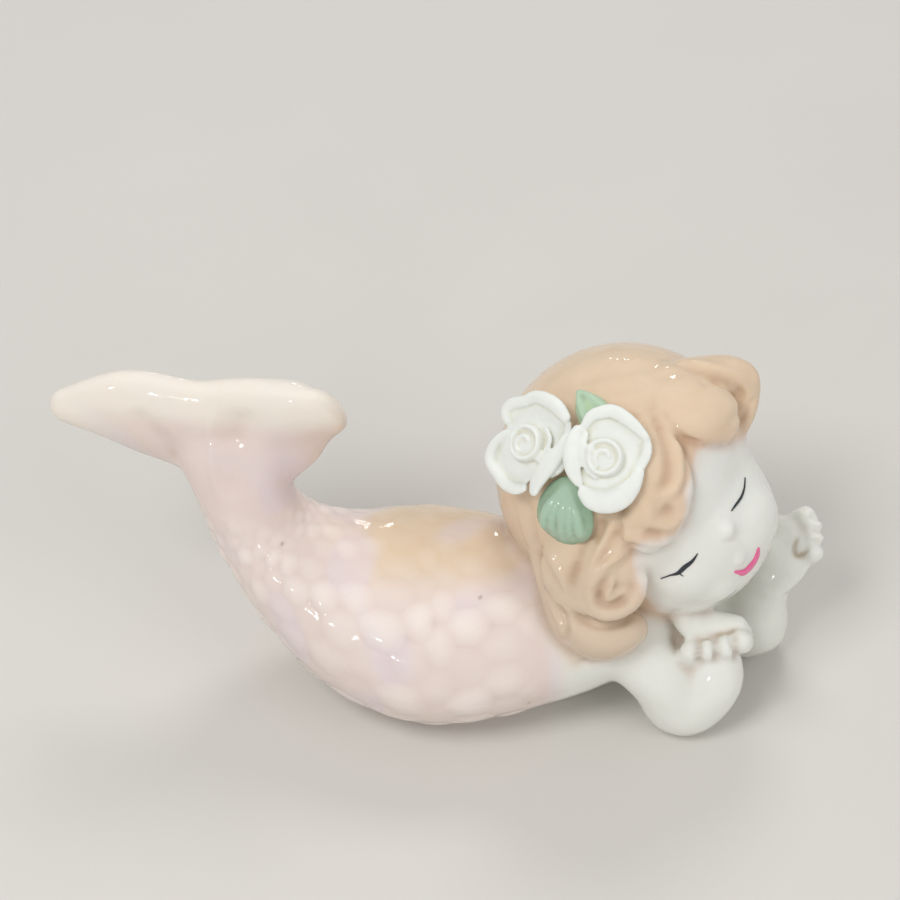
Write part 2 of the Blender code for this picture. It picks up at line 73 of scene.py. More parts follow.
# Fluke: two lobes and their top edge
LEFT_LOBE = (
    ((-27.6, 8.4, 36.2), 8.6, 3.1),
    ((-33.5, 9.2, 37.8), 7.3, 3.1),
    ((-40.3, 10.2, 39.2), 6.3, 3.0),
    ((-48.4, 11.2, 38.8), 2.6, 2.0),
)
RIGHT_LOBE = (
    ((-26.2, 7.5, 31.2), 6.6, 3.1),
    ((-20.2, 8.0, 38.5), 7.5, 3.1),
    ((-14.3, 6.8, 42.1), 4.5, 2.1),
)
FLUKE_EDGE = (
    ((-29.6, 9.0, 41.6), 3.0, 2.4),
    ((-24.5, 8.4, 41.9), 3.7, 2.8),
    ((-18.0, 7.6, 42.2), 3.7, 2.8),
)

# Head
HAIR_CENTRE = (24.2, 7.8, 29.9)
HAIR_RADIUS = 17.0
FACE_CENTRE = (30.1, 4.7, 26.2)
FACE_RADIUS = 13.9
NECK = (((28.0, 2.8, 13.0), 6.4, 6.4), (FACE_CENTRE, 6.4, 6.4))
# Swellings of the face: direction from its middle, radius, and rise above it
NEAR_CHEEK = ((0.10, -0.99, 0.00), 6.8, 0.5)
FAR_CHEEK = ((0.80, -0.46, 0.32), 6.8, 1.1)
CHIN = ((0.43, -0.87, -0.19), 4.2, 0.6)
NOSE = ((0.43, -0.75, 0.50), 1.35, 0.85)
LIPS = ((0.57, -0.80, 0.17), 1.3, 0.4)

# Locks: centre, half width and half thickness along each
FORELOCK = (
    ((24.0, 6.4, 43.6), 3.4, 1.4),
    ((28.4, 4.8, 45.0), 4.8, 2.1),
    ((32.6, 4.6, 44.4), 5.0, 2.7),
    ((35.2, 5.0, 42.9), 4.0, 2.7),
)
FAR_LOCK = (
    ((28.0, 9.4, 45.2), 2.6, 1.6),
    ((33.0, 10.6, 44.6), 3.2, 2.2),
    ((38.2, 12.0, 42.8), 3.0, 2.4),
    ((38.8, 9.4, 39.8), 2.2, 1.9),
    ((38.2, 7.6, 37.0), 1.3, 1.2),
)
TEMPLE_LOCK = (
    ((25.0, 1.2, 45.2), 2.0, 0.9),
    ((28.0, -2.4, 43.2), 2.4, 1.2),
    ((29.0, -5.4, 40.6), 2.5, 1.3),
    ((27.6, -7.6, 37.4), 2.9, 1.3),
    ((25.0, -8.7, 34.6), 2.9, 1.3),
)
CROWN_LOCK = (
    ((20.0, 2.0, 46.2), 2.2, 0.8),
    ((23.6, -2.4, 44.6), 2.6, 1.2),
    ((25.6, -5.6, 41.2), 2.6, 1.4),
    ((25.4, -8.0, 37.6), 2.6, 1.4),
)
SIDE_LOCK = (
    ((22.6, -6.6, 37.2), 2.4, 1.2),
    ((21.4, -8.0, 33.8), 2.6, 1.6),
    ((20.2, -9.0, 30.4), 2.6, 2.0),
    ((19.4, -9.6, 27.4), 2.4, 2.0),
)
CURL = (
    ((20.4, -8.6, 31.6), 1.1, 1.0),
    ((19.0, -9.8, 29.6), 1.2, 1.1),
    ((18.6, -10.3, 27.4), 1.3, 1.2),
    ((19.4, -11.0, 25.8), 1.4, 1.3),
    ((21.2, -11.6, 25.1), 1.4, 1.3),
    ((23.2, -11.4, 25.3), 1.3, 1.2),
    ((24.8, -11.0, 26.9), 1.1, 1.1),
    ((25.4, -10.2, 29.0), 0.9, 0.9),
)
CURL_HEART = (
    ((21.6, -9.6, 31.0), 1.0, 0.9),
    ((20.8, -10.4, 28.6), 1.1, 1.0),
    ((21.6, -10.8, 27.2), 1.1, 1.0),
    ((23.0, -10.8, 27.6), 0.9, 0.9),
)
BACK_LOCK = (
    ((16.6, -5.4, 34.0), 2.6, 1.0),
    ((15.6, -6.8, 30.0), 3.0, 1.8),
    ((15.8, -8.0, 26.6), 3.2, 2.2),
    ((18.2, -9.4, 24.4), 3.0, 2.4),
)
LOWER_LOBE = (
    ((15.0, -7.0, 23.2), 3.0, 2.2),
    ((17.2, -9.4, 19.8), 4.2, 2.9),
    ((20.8, -10.5, 18.4), 4.4, 3.1),
    ((24.2, -9.8, 19.0), 3.2, 2.6),
)
NAPE_LOCK = (
    ((12.6, -2.8, 26.6), 1.8, 1.2),
    ((14.2, -7.0, 22.8), 1.7, 1.4),
    ((15.6, -10.0, 18.4), 1.4, 1.2),
    ((17.4, -11.4, 15.6), 1.0, 0.9),
)
LOCKS = (
    FORELOCK, FAR_LOCK, TEMPLE_LOCK, CROWN_LOCK, SIDE_LOCK, CURL, CURL_HEART, BACK_LOCK,
    LOWER_LOBE, NAPE_LOCK,
)
# Hair that fills the middle of the curl
CURL_FILL = ((22.8, -6.6, 28.6), (4.2, 4.2, 4.8))

# Strokes of the modelling tool: path in the view, width and rise (a groove is negative)
HAIR_STROKES = (
    # Between forelock and far lock
    (((28.5, 12.3), (30.7, 11.5), (32.9, 10.8), (34.9, 10.1), (36.5, 9.5), (37.9, 8.7),
      (38.7, 7.5), (38.8, 5.9), (38.1, 4.3), (37.3, 3.2)), 0.7, -0.45),
    (((32.0, 12.0), (34.9, 11.1), (37.3, 10.3), (39.2, 8.8), (39.7, 7.2)), 0.8, 0.3),
    # Far lock
    (((40.9, 6.8), (40.0, 5.9), (39.3, 4.7), (38.9, 3.2)), 0.6, -0.45),
    (((37.1, 11.6), (39.2, 11.6), (40.7, 10.4), (40.8, 8.3)), 0.9, 0.25),
    # Forelock
    (((33.3, 8.8), (34.9, 9.2), (36.3, 8.7)), 0.8, -0.3),
    (((28.3, 5.6), (28.9, 4.0), (30.1, 2.4), (31.7, 1.3), (33.6, 0.9)), 0.6, -0.5),
    # Temple
    (((27.5, 6.4), (28.5, 4.5), (29.5, 2.4), (30.3, 0.4), (30.7, -1.6), (30.7, -3.6), (30.0, -5.3),
      (28.5, -6.3), (26.9, -6.4)), 0.7, 0.45),
    (((30.1, 1.9), (31.2, 0.3), (31.6, -1.6), (31.6, -3.5), (31.2, -5.3), (30.1, -6.7)), 0.6, -0.35),
    (((26.7, 4.7), (28.0, 2.4), (28.8, 0.3), (29.2, -1.9), (29.1, -3.7), (28.0, -5.1)), 0.7, -0.4),
    (((25.1, 6.1), (26.7, 3.7), (27.6, 1.3), (28.0, -1.1), (27.7, -3.5), (26.7, -5.1)), 0.8, 0.3),
    # Swirls
    (((26.9, -7.1), (26.4, -8.4), (26.9, -9.7), (28.5, -10.3), (30.1, -9.6), (31.1, -8.3),
      (30.9, -6.9)), 0.8, 0.4),
    (((28.3, -7.7), (29.1, -8.1), (29.9, -8.0)), 1.0, -0.55),
    (((26.0, -10.9), (27.3, -11.3), (28.5, -11.2)), 1.0, -0.55),
    (((24.5, -12.1), (26.1, -12.4), (28.0, -12.4), (29.6, -11.9), (30.9, -10.7)), 0.7, 0.35),
    (((22.9, -13.3), (24.5, -12.8), (26.4, -12.9)), 0.6, -0.35),
    # Strands under the roses
    (((22.8, -8.5), (23.5, -10.0), (23.5, -11.7), (22.7, -13.1)), 0.6, 0.45),
    (((20.3, -9.1), (19.9, -10.7), (18.9, -12.3)), 0.9, -0.6),
    (((21.6, -9.5), (20.8, -11.2), (20.0, -12.9), (19.2, -14.7), (18.1, -16.3)), 0.45, 0.45),
    (((22.3, -10.4), (21.5, -12.3), (20.5, -14.1), (19.3, -15.7)), 0.45, -0.35),
    (((24.0, -12.8), (22.4, -14.1), (20.8, -15.2), (19.6, -16.5), (18.7, -18.3), (18.7, -19.7),
      (19.5, -20.8)), 0.6, 0.5),
    # Curl
    (((21.6, -16.3), (20.5, -17.9), (19.9, -19.5), (20.3, -20.7), (21.6, -20.7), (22.9, -20.0),
      (23.7, -18.9)), 0.5, -0.5),
    (((21.9, -17.1), (21.2, -18.7), (20.9, -19.9), (22.0, -19.7)), 0.45, 0.45),
    (((17.3, -20.0), (18.4, -21.5), (20.3, -22.3), (22.4, -22.0), (24.1, -20.9), (24.8, -19.9)),
     0.9, 0.45),
    (((17.1, -14.7), (16.1, -17.1), (16.0, -18.9), (16.5, -20.5)), 0.6, -0.3),
    # Back of the head
    (((13.1, -13.1), (13.7, -14.9), (14.8, -16.9), (15.7, -18.9)), 0.6, 0.3),
    (((12.1, -13.1), (12.9, -15.5), (14.1, -17.7), (15.3, -20.0)), 0.5, -0.3),
    (((10.5, -6.4), (10.9, -8.7), (11.2, -10.9), (11.7, -12.8)), 0.6, -0.3),
    (((9.2, -6.7), (9.7, -9.3), (10.5, -12.0), (11.3, -14.1)), 0.8, 0.25),
    # Nape
    (((13.1, -19.5), (13.9, -21.5), (14.7, -23.3), (15.2, -25.1)), 0.4, 0.4),
    (((13.7, -19.5), (14.9, -20.7), (16.1, -21.7)), 0.4, 0.35),
    (((14.3, -20.0), (15.3, -21.9), (15.7, -23.7), (15.6, -25.6)), 0.4, -0.35),
    (((16.0, -22.9), (16.5, -24.3), (16.1, -25.7)), 0.4, 0.3),
    # Lower lobe
    (((16.1, -21.3), (17.7, -22.7), (20.3, -23.5), (23.1, -22.8), (25.3, -21.5)), 0.5, -0.4),
    (((25.3, -23.7), (25.7, -25.6), (24.8, -27.2)), 0.7, -0.25),
    # Crown
    (((20.8, 13.6), (21.2, 11.7)), 0.5, 0.15),
    (((22.1, 13.9), (22.4, 11.5)), 0.5, 0.15),
    (((23.6, 13.7), (24.0, 11.2)), 0.5, 0.15),
    (((24.9, 13.7), (25.1, 11.7)), 0.5, 0.15),
    (((28.0, 11.2), (24.0, 10.7), (20.0, 9.9), (16.3, 8.8)), 1.2, -0.2),
    (((26.7, 8.7), (24.0, 8.3), (21.3, 7.5)), 1.0, -0.2),
)
TAIL_STROKES = (
    # Ridge down the fluke
    (((-31.6, 6.1), (-31.9, 2.7), (-31.9, -0.7), (-31.3, -4.0), (-30.1, -7.6)), 0.8, 0.3),
    (((-27.8, 6.0), (-28.2, 3.3), (-28.9, 0.0), (-29.0, -3.3), (-28.3, -6.7)), 2.6, -0.55),
    (((-42.5, 5.6), (-40.3, 3.1), (-38.0, 0.8), (-36.4, -2.0)), 1.5, -0.45),
)
# Grooves between the fingers of the near hand, then of the far hand
FINGER_STROKES = (
    (((33.1, -25.5), (33.1, -26.9), (33.2, -28.6)), 0.45, -0.7),
    (((35.3, -25.2), (35.5, -26.7), (35.6, -28.4)), 0.45, -0.7),
    (((37.7, -24.7), (37.9, -26.0), (38.1, -27.7)), 0.45, -0.7),
    (((47.9, -8.9), (49.0, -9.1), (50.0, -9.4)), 0.4, -0.5),
    (((48.2, -10.6), (49.2, -10.8), (50.3, -11.1)), 0.4, -0.5),
    (((48.2, -12.2), (49.2, -12.4), (50.3, -12.7)), 0.4, -0.5),
)
# Creases of the hands, pressed in and painted brown: near hand, far hand
BROWN_CREASES = (
    (((32.5, -25.4), (34.1, -25.1), (35.9, -24.6), (37.2, -24.3), (38.8, -23.6)), 0.28, -0.3),
    (((46.5, -11.6), (46.0, -12.8), (46.1, -13.9), (46.8, -14.1), (48.0, -13.2)), 0.32, -0.25),
)
# Points of a stroke from each place in its path to the next
STROKE_STEPS = 10

# Specks burnt into the glaze
SPECKS = ((-22.4, -12.5), (4.0, -19.7), (10.5, -33.7))
SPECK_RADIUS = 0.22

# Edge of the face paint in the view, round the face from the far temple down to the chin
FACE_EDGE = (
    (39.7, 2.1), (38.9, 1.5), (37.1, 0.9), (34.9, 0.8), (32.9, 0.0), (32.4, -1.6), (32.1, -3.7),
    (31.3, -5.3), (31.5, -7.9), (31.1, -9.6), (30.1, -11.2), (28.0, -12.1), (25.3, -12.4),
    (24.5, -13.3), (24.4, -14.9), (24.9, -17.3), (26.0, -19.6), (28.0, -21.6), (33.3, -23.3),
    (45.3, -20.0), (46.7, -9.3), (42.7, 0.0),
)
# How softly the sprayed hair colour ends there, and how far the pink band along it reaches: partly the
# spray's soft edge, partly painted shade under the hair
FACE_EDGE_BLUR = 0.25
HAIRLINE_BAND_WIDTH = 1.0

# The far temple, pressed in under the hair
FAR_TEMPLE = (42.6, 9.9, 31.8)
TEMPLE_DEPTH = 2.2
TEMPLE_REACH = 4.6

# Painted strokes: places in the view, half widths
NEAR_LASH = (
    ((28.1, -17.1), (29.3, -16.7), (30.4, -16.4), (31.3, -15.6), (32.3, -14.8), (33.0, -13.8)),
    (0.04, 0.09, 0.26, 0.32, 0.22, 0.05),
)
NEAR_LASH_FLICK = (((30.4, -16.3), (30.8, -16.6), (31.1, -16.8)), (0.12, 0.07, 0.03))
FAR_LASH = (
    ((37.5, -8.1), (38.1, -7.3), (38.8, -6.3), (39.2, -5.1), (39.3, -3.7)),
    (0.06, 0.16, 0.17, 0.12, 0.05),
)
MOUTH = (
    ((38.0, -16.2), (39.1, -16.3), (40.0, -15.6), (40.8, -14.4), (41.1, -13.1)),
    (0.20, 0.62, 0.85, 0.62, 0.20),
)
PAINT_LIFT = 0.04
PAINT_THICKNESS = 0.14

# Arms, from the shoulder over the elbow on the table to the wrist
ARM_RADII = (4.6, 4.3, 4.8, 4.3, 3.5)
NEAR_ARM = (
    (24.5, -7.0, 12.8), (28.8, -9.2, 9.0), (32.2, -9.4, 4.0), (35.8, -9.0, 8.6), (35.0, -6.2, 12.6),
)
FAR_ARM = (
    (33.5, 8.5, 12.0), (38.0, 6.8, 7.8), (42.4, 4.0, 3.9), (42.8, 4.6, 9.0), (44.0, 5.2, 12.6),
)

# Hands: the limbs that make each one, with the way that runs across it
NEAR_HAND = (
    (((31.2, -5.6, 17.4), 1.5, 1.3), ((32.5, -6.0, 16.2), 2.1, 1.5), ((34.5, -6.2, 15.0), 2.2, 1.6)),
    (((32.6, -5.6, 15.6), 2.1, 1.4), ((35.5, -6.1, 15.0), 2.4, 1.6), ((38.9, -6.3, 15.1), 1.9, 1.5)),
    (((33.3, -6.8, 13.4), 1.5, 1.5), ((32.7, -8.7, 12.9), 1.6, 1.6), ((32.6, -9.3, 14.2), 1.5, 1.5)),
    (((35.4, -6.6, 13.6), 1.5, 1.5), ((34.8, -8.6, 13.2), 1.7, 1.6), ((34.7, -9.4, 14.6), 1.6, 1.5)),
    (((37.7, -6.5, 13.8), 1.5, 1.5), ((37.2, -8.3, 13.5), 1.7, 1.6), ((37.0, -9.1, 14.8), 1.6, 1.5)),
    (((39.4, -6.0, 14.3), 1.5, 1.5), ((39.4, -7.7, 14.1), 1.6, 1.6), ((39.2, -8.4, 15.3), 1.5, 1.5)),
)
FAR_HAND = (
    (((43.6, 4.1, 12.9), 3.3, 2.5), ((45.0, 5.5, 15.2), 4.3, 2.6), ((45.9, 7.2, 17.0), 4.3, 2.4),
     ((46.3, 8.4, 18.4), 3.6, 1.9)),
    (((46.6, 8.3, 18.4), 1.5, 1.5), ((48.1, 9.0, 19.7), 1.5, 1.5), ((48.7, 8.5, 21.1), 1.3, 1.3)),
    (((47.4, 7.5, 17.6), 1.5, 1.5), ((49.0, 8.0, 18.9), 1.5, 1.5), ((49.7, 7.4, 20.3), 1.3, 1.3)),
    (((47.6, 6.6, 16.7), 1.5, 1.5), ((49.3, 6.8, 17.8), 1.5, 1.5), ((49.9, 6.2, 19.1), 1.3, 1.3)),
    (((47.4, 5.4, 15.4), 1.7, 1.6), ((49.0, 5.7, 16.3), 1.6, 1.5), ((49.8, 5.0, 17.5), 1.4, 1.4)),
)
HANDS_ACROSS = (0.0, 0.707, 0.707)

# Applied flowers
TO_FRONT_ROSE = (-0.205, -0.620, 0.757)
TO_BACK_ROSE = (-0.711, -0.340, 0.615)
BACK_ROSE_LEAN = 0.30
ROSE_SINK = 0.6
# Half the way between the middles of the roses
ROSE_PITCH = 5.0
# Rose in its own frame: foot (lower and upper radius, depth, middle), cushion and bud (middle, radii)
ROSE_FOOT = (2.6, 2.9, 1.6, 1.0)
ROSE_CUSHION = ((0, 0, 1.9), (4.6, 4.6, 0.9))
ROSE_BUD = ((0, 0, 2.7), (2.1, 2.1, 1.1))
# Coils of the bud: where each starts, turns, radius at its start and end, lower and upper edge
COILS = ((0.0, 0.6, 0.75, 1.15, 2.6, 4.2), (2.2, 1.04, 1.85, 2.2, 2.2, 4.1))
COIL_THICKNESS = 0.36
STEPS_IN_A_TURN = 26
# How far the coils of each rose are turned
FRONT_TURN = 0.4
BACK_TURN = 0.9
PETAL_FOOT = 1.7
PETAL_THICKNESS = 1.0
# Half height of a rolled lip for each millimetre of its half width
LIP_HEIGHT = 0.55
# Lips of the petals: place in the view, height over the foot of the rose, half width
FRONT_PETALS = (
    ((17.8, 3.0, 2.9, 0.5), (18.7, 4.4, 3.1, 0.75), (20.0, 5.0, 3.1, 0.85), (21.6, 5.2, 3.1, 0.9),
     (23.2, 4.4, 3.1, 0.9), (24.8, 3.1, 3.0, 0.75), (26.2, 1.6, 2.9, 0.5)),
    ((26.3, 1.6, 2.6, 0.45), (26.3, -0.3, 2.5, 0.65), (25.5, -2.1, 2.5, 0.65), (24.6, -3.5, 2.5, 0.5)),
    ((17.6, -5.4, 2.6, 0.8), (18.9, -6.5, 2.5, 1.35), (20.8, -6.9, 2.5, 1.55), (22.8, -6.3, 2.5, 1.5),
     (24.4, -4.7, 2.8, 1.1), (25.4, -2.7, 3.0, 0.6)),
    ((17.1, 3.0, 2.9, 0.6), (16.4, 1.3, 3.1, 0.95), (16.1, -0.7, 3.2, 1.05), (16.4, -2.7, 3.1, 1.0),
     (17.2, -4.5, 2.8, 0.6)),
    ((18.2, 2.3, 3.0, 0.35), (17.8, 0.7, 3.3, 0.45), (17.8, -1.1, 3.3, 0.45), (18.4, -2.7, 3.2, 0.45),
     (19.5, -3.7, 3.0, 0.35)),
)
BACK_PETALS = (
    ((7.6, 3.7, 2.4, 0.5), (7.3, 5.2, 2.6, 0.7), (8.3, 6.2, 2.7, 0.8), (9.9, 6.5, 2.8, 0.8),
     (11.3, 7.1, 2.9, 0.85), (12.9, 6.7, 3.0, 0.95), (14.4, 5.6, 3.0, 1.0), (15.6, 4.1, 2.8, 0.7)),
    ((7.5, 2.4, 2.5, 0.5), (6.1, 1.0, 2.4, 0.75), (5.3, -0.6, 2.3, 0.8), (5.4, -1.8, 2.3, 0.75),
     (6.3, -3.2, 2.3, 0.75), (7.3, -4.5, 2.4, 0.8), (8.8, -5.2, 2.5, 0.8), (10.1, -5.0, 2.6, 0.5)),
    ((15.8, 3.6, 2.4, 0.5), (15.6, 1.2, 2.4, 0.7), (15.0, -1.1, 2.4, 0.7), (14.6, -2.4, 2.4, 0.7),
     (13.5, -3.3, 2.4, 0.5)),
    ((15.4, 1.8, 2.8, 0.6), (14.8, 0.1, 3.0, 1.05), (13.6, -1.5, 3.1, 1.25), (12.4, -3.0, 3.0, 1.2),
     (11.5, -4.5, 2.8, 1.0), (11.1, -5.8, 2.6, 0.65)),
    ((12.7, 3.0, 3.0, 0.35), (13.3, 1.6, 3.2, 0.4), (12.9, 0.1, 3.1, 0.4), (11.6, -1.4, 3.0, 0.35)),
)
# Leaves: middle and tip in the view, body, ridges in the leaf's own frame, and how thin the green is
LOWER_LEAF = (
    (15.6, -8.6), (15.5, -12.4),
    (((-4.4, 0.0, -0.1), 1.8, 0.6), ((-3.2, 0.0, 0.2), 2.9, 0.9), ((-1.2, 0.0, 0.5), 3.8, 1.2),
     ((1.2, 0.0, 0.4), 3.9, 1.15), ((2.8, 0.0, 0.0), 3.0, 0.8), ((3.5, 0.0, -0.2), 1.7, 0.6)),
    tuple(
        (((-3.9, 0.15 * y, 0.7), 0.4, 0.4), ((-1.0, 0.8 * y, 1.6), 0.6, 0.55),
         ((1.4, y, 1.25), 0.6, 0.5), ((3.1 - 0.35 * abs(y), 0.95 * y, 0.5), 0.4, 0.3))
        for y in (-2.5, -1.25, 0.1, 1.25, 2.5)
    ),
    0.0,
)
UPPER_LEAF = (
    (18.3, 6.1), (16.9, 8.1),
    (((-2.6, 0.0, 0.3), 2.3, 0.8), ((-0.6, 0.0, 0.5), 1.9, 0.7), ((1.1, 0.0, 0.4), 0.95, 0.5),
     ((2.3, 0.0, 0.3), 0.2, 0.3)),
    tuple(
        (((-2.4, 1.3 * way, 1.0), 0.5, 0.4), ((0.0, 0.8 * way, 1.0), 0.5, 0.35),
         ((1.9, 0.1 * way, 0.7), 0.25, 0.25))
        for way in (1, -1)
    ),
    1.0,
)
# How far the painted highlight along the ridges reaches from their crests, and its strength
RIDGE_HIGHLIGHT_REACH = 0.35
RIDGE_HIGHLIGHT_STRENGTH = 0.6

# The back of the head, which the photograph doesn't show: where its locks are combed from
TO_CROWN = (-0.30, 0.50, 0.81)
LOCKS_AROUND = 10
STRANDS_IN_A_LOCK = 3
STRAND_DEPTH = 0.35
COMBED_DEPTH = 0.5

# Fish scales of the tail: pitch of the rows and half width as shares of a scale's width, and half
# length as a share of the pitch
SCALES_AROUND = 17
SCALE_DEPTH = 0.4
SCALE_PITCH = 0.9
SCALE_HALF_WIDTH = 0.56
SCALE_HALF_LENGTH = 0.75
# How far they are worn off under the tan of the back
SCALES_WORN = 0.8

# Reach of the tan back, the white of the fluke's top (partly glaze pooling, partly a painted
# highlight),
# the scales, and the ash low in the hair: each fades in from the first value to the second
BACK_UP_THE_VIEW = (-21.5, -13.5)
BACK_ALONG = (-17.0, -6.0)
BACK_HEIGHT = (14.0, 18.0)
POOLED_HEIGHT = (38.5, 42.5)
POOLED_ALONG = (-36.0, -48.0)
SCALES_ALONG = (14.0, 9.0)
SCALES_HEIGHT = (30.0, 22.0)
ASH_HEIGHT = (37.0, 24.0)
# The pink of the tail ends along a line that slants from the near flank
TAIL_END = (12.5, 17.5)
TAIL_END_SLANT = 0.25
NEAR_FLANK = -12.0
# Lilac clouds over the pink
CLOUD_PITCH = 12.0

# Size of the facets that each fused form is drawn with, and rounds that soften its creases
CORE_FACETS = (0.5, 14)
SKIN_FACETS = (0.36, 5)
ROSE_FACETS = (0.17, 7)
LEAF_FACETS = (0.18, 6)
# How far the share of one form reaches into the next, and a last softening of the figure
SHARE_REACH = 0.45
LAST_SOFTENING = 0.6

# Camera's sensor and lens in millimetres; floor and lamps in metres and watts
SENSOR_WIDTH = 36
FOCAL_LENGTH = 96
FLOOR_GAP = 0.00005
FLOOR_HALF_WIDTH = 1.5
LAMPS_AIM = (0, 0, 0.02)
# Name, place, diameter, watts, and whether the glaze mirrors it
LAMPS = (
    ("key", (-0.25, -0.25, 0.55), 0.25, 1.6, False),
    ("fill", (0.45, -0.35, 0.35), 0.40, 0.9, False),
    ("top_back", (0.05, 0.35, 0.5), 0.2, 0.8, False),
    # Small shop lamps, seen in the glaze: behind her, before her tail, and to the left
    ("lamp_behind", (0.01, 0.62, 0.24), 0.04, 0.05, True),
    ("lamp_front", (-0.18, -0.55, 0.26), 0.04, 0.12, True),
    ("lamp_left", (-0.42, -0.36, 0.28), 0.04, 0.12, True),
)
SKY_STRENGTH = 0.42


def curve_between(rows, steps):
    """A smooth run through rows of numbers, with steps points from each row to the next."""
    out = []
    last = len(rows) - 1
    for i in range(last):
        a, b, c, d = (rows[max(0, min(last, i + k))] for k in (-1, 0, 1, 2))
        for step in range(steps):
            t = step / steps
            out.append([
                q + 0.5 * t * (r - p + t * (2 * p - 5 * q + 4 * r - s + t * (3 * (q - r) + s - p)))
                for p, q, r, s in zip(a, b, c, d)
            ])
    out.append(list(rows[last]))
    return out


def station(centre, along, side, half_width, half_height):
    """The matrix that lays a unit circle across a limb, with its X along side."""
    up = along.cross(side).normalized()
    across = up.cross(along).normalized()
    axes = Matrix((across * half_width, up * half_height, along)).transposed()
    return Matrix.Translation(centre) @ axes.to_4x4()


def round_end(cut, way):
    """Three shrinking cuts past the last one of a limb, which make its end round."""
    centre, along, across, wide, high = cut
    reach = min(wide, high)
    out = []
    for turn in (30, 60, 84):
        turned = math.radians(turn)
        shrink = math.cos(turned)
        ahead = centre + along * (way * reach * math.sin(turned))
        out.append((ahead, along, across, wide * shrink, high * shrink))
    return out


def limb(form, stations, side, steps=6, sides=24):
    """A closed, round-ended limb through (point, half width, half height) stations."""
    rows = curve_between([(*point, wide, high) for point, wide, high in stations], steps)
    path = [Vector(row[:3]) for row in rows]
    cuts = []
    for i, row in enumerate(rows):
        along = (path[min(i + 1, len(path) - 1)] - path[max(i - 1, 0)]).normalized()
        cuts.append((path[i], along, Vector(side), row[3], row[4]))
    cuts = round_end(cuts[0], -1)[::-1] + cuts + round_end(cuts[-1], 1)
    placed = [station(*cut) for cut in cuts]
    ring = bmesh.ops.create_circle(form, cap_ends=True, segments=sides, radius=1, matrix=placed[0])
    cap = start = ring["verts"][0].link_faces[0]
    for before, after in zip(placed, placed[1:]):
        moved = bmesh.ops.extrude_face_region(form, geom=[cap])["geom"]
        if cap is not start:
            form.faces.remove(cap)
        points = [item for item in moved if isinstance(item, bmesh.types.BMVert)]
        cap = next(item for item in moved if isinstance(item, bmesh.types.BMFace))
        bmesh.ops.transform(form, matrix=after @ before.inverted(), verts=points)


def ball(form, centre, radii, placed=Matrix(), sides=48):
    """A closed ball or egg."""
    shape = placed @ Matrix.Translation(centre) @ Matrix.Diagonal((*radii, 1))
    bmesh.ops.create_uvsphere(form, u_segments=sides, v_segments=sides // 2, radius=1, matrix=shape)


def mesh_of(form, name):
    bmesh.ops.recalc_face_normals(form, faces=form.faces)
    mesh = bpy.data.meshes.new(name)
    form.to_mesh(mesh)
    form.free()
    return mesh


def fused(meshes, name, voxel, smoothing):
    """One skin over the shells in the meshes, with the creases between them softened."""
    form = bmesh.new()
    for mesh in meshes:
        form.from_mesh(mesh)
    shells = bpy.data.objects.new(name, mesh_of(form, name))
    bpy.context.scene.collection.objects.link(shells)
    skin = shells.modifiers.new("skin", "REMESH")
    skin.mode = "VOXEL"
    skin.voxel_size = voxel
    soften = shells.modifiers.new("soften", "SMOOTH")
    soften.iterations = smoothing
    bpy.context.view_layer.update()
    evaluated = shells.evaluated_get(bpy.context.evaluated_depsgraph_get())
    mesh = bpy.data.meshes.new_from_object(evaluated)
    bpy.data.objects.remove(shells)
    return mesh


def read(mesh):
    """The points and normals of a mesh as arrays."""
    points = np.empty(len(mesh.vertices) * 3)
    mesh.vertices.foreach_get("co", points)
    normals = np.empty(len(mesh.vertices) * 3)
    mesh.vertices.foreach_get("normal", normals)
    return points.reshape(-1, 3), normals.reshape(-1, 3)


def write(mesh, points):
    mesh.vertices.foreach_set("co", points.ravel())
    mesh.update()


def edges_of(mesh):
    """The two points of each edge of a mesh."""
    ends = np.empty(len(mesh.edges) * 2, dtype=np.int64)
    mesh.edges.foreach_get("vertices", ends)
    return ends.reshape(-1, 2)


def averaged(values, ends, times):
    """Values at the points of a mesh, each made the mean of its neighbours, times over."""
    count = len(values)
    a, b = ends[:, 0], ends[:, 1]
    near = np.bincount(a, minlength=count) + np.bincount(b, minlength=count)
    out = values.reshape(count, -1)
    for _ in range(times):
        columns = [
            np.bincount(a, out[b, k], count) + np.bincount(b, out[a, k], count)
            for k in range(out.shape[1])
        ]
        out = np.stack(columns, axis=1) / near[:, None]
    return out.reshape(values.shape)


def hollows(points, normals, ends, times):
    """How deep each point lies below the mean of those around it."""
    return np.einsum("ij,ij->i", averaged(points, ends, times) - points, normals)


def ramp(values, start, end):
    """A soft step from 0 at start to 1 at end, which falls where start is the greater."""
    t = np.clip((values - start) / (end - start), 0, 1)
    return t * t * (3 - 2 * t)


def seen_on(skin, place):
    """The point of a skin that shows at a place in the view."""
    aim = LOOKED_AT + TO_THE_RIGHT * place[0] + UPWARDS * place[1]
    hit = skin.ray_cast(VIEWER, (aim - VIEWER).normalized())[0]
    return hit if hit else skin.find_nearest(aim)[0]


def in_view(points):
    """Where points show in the view, as (right, up) millimetres."""
    away = points - np.array(VIEWER)
    depth = -away @ np.array(TO_VIEWER)
    flat = np.stack((away @ np.array(TO_THE_RIGHT), away @ np.array(UPWARDS)), axis=1)
    return flat * (VIEWING_DISTANCE / depth)[:, None]


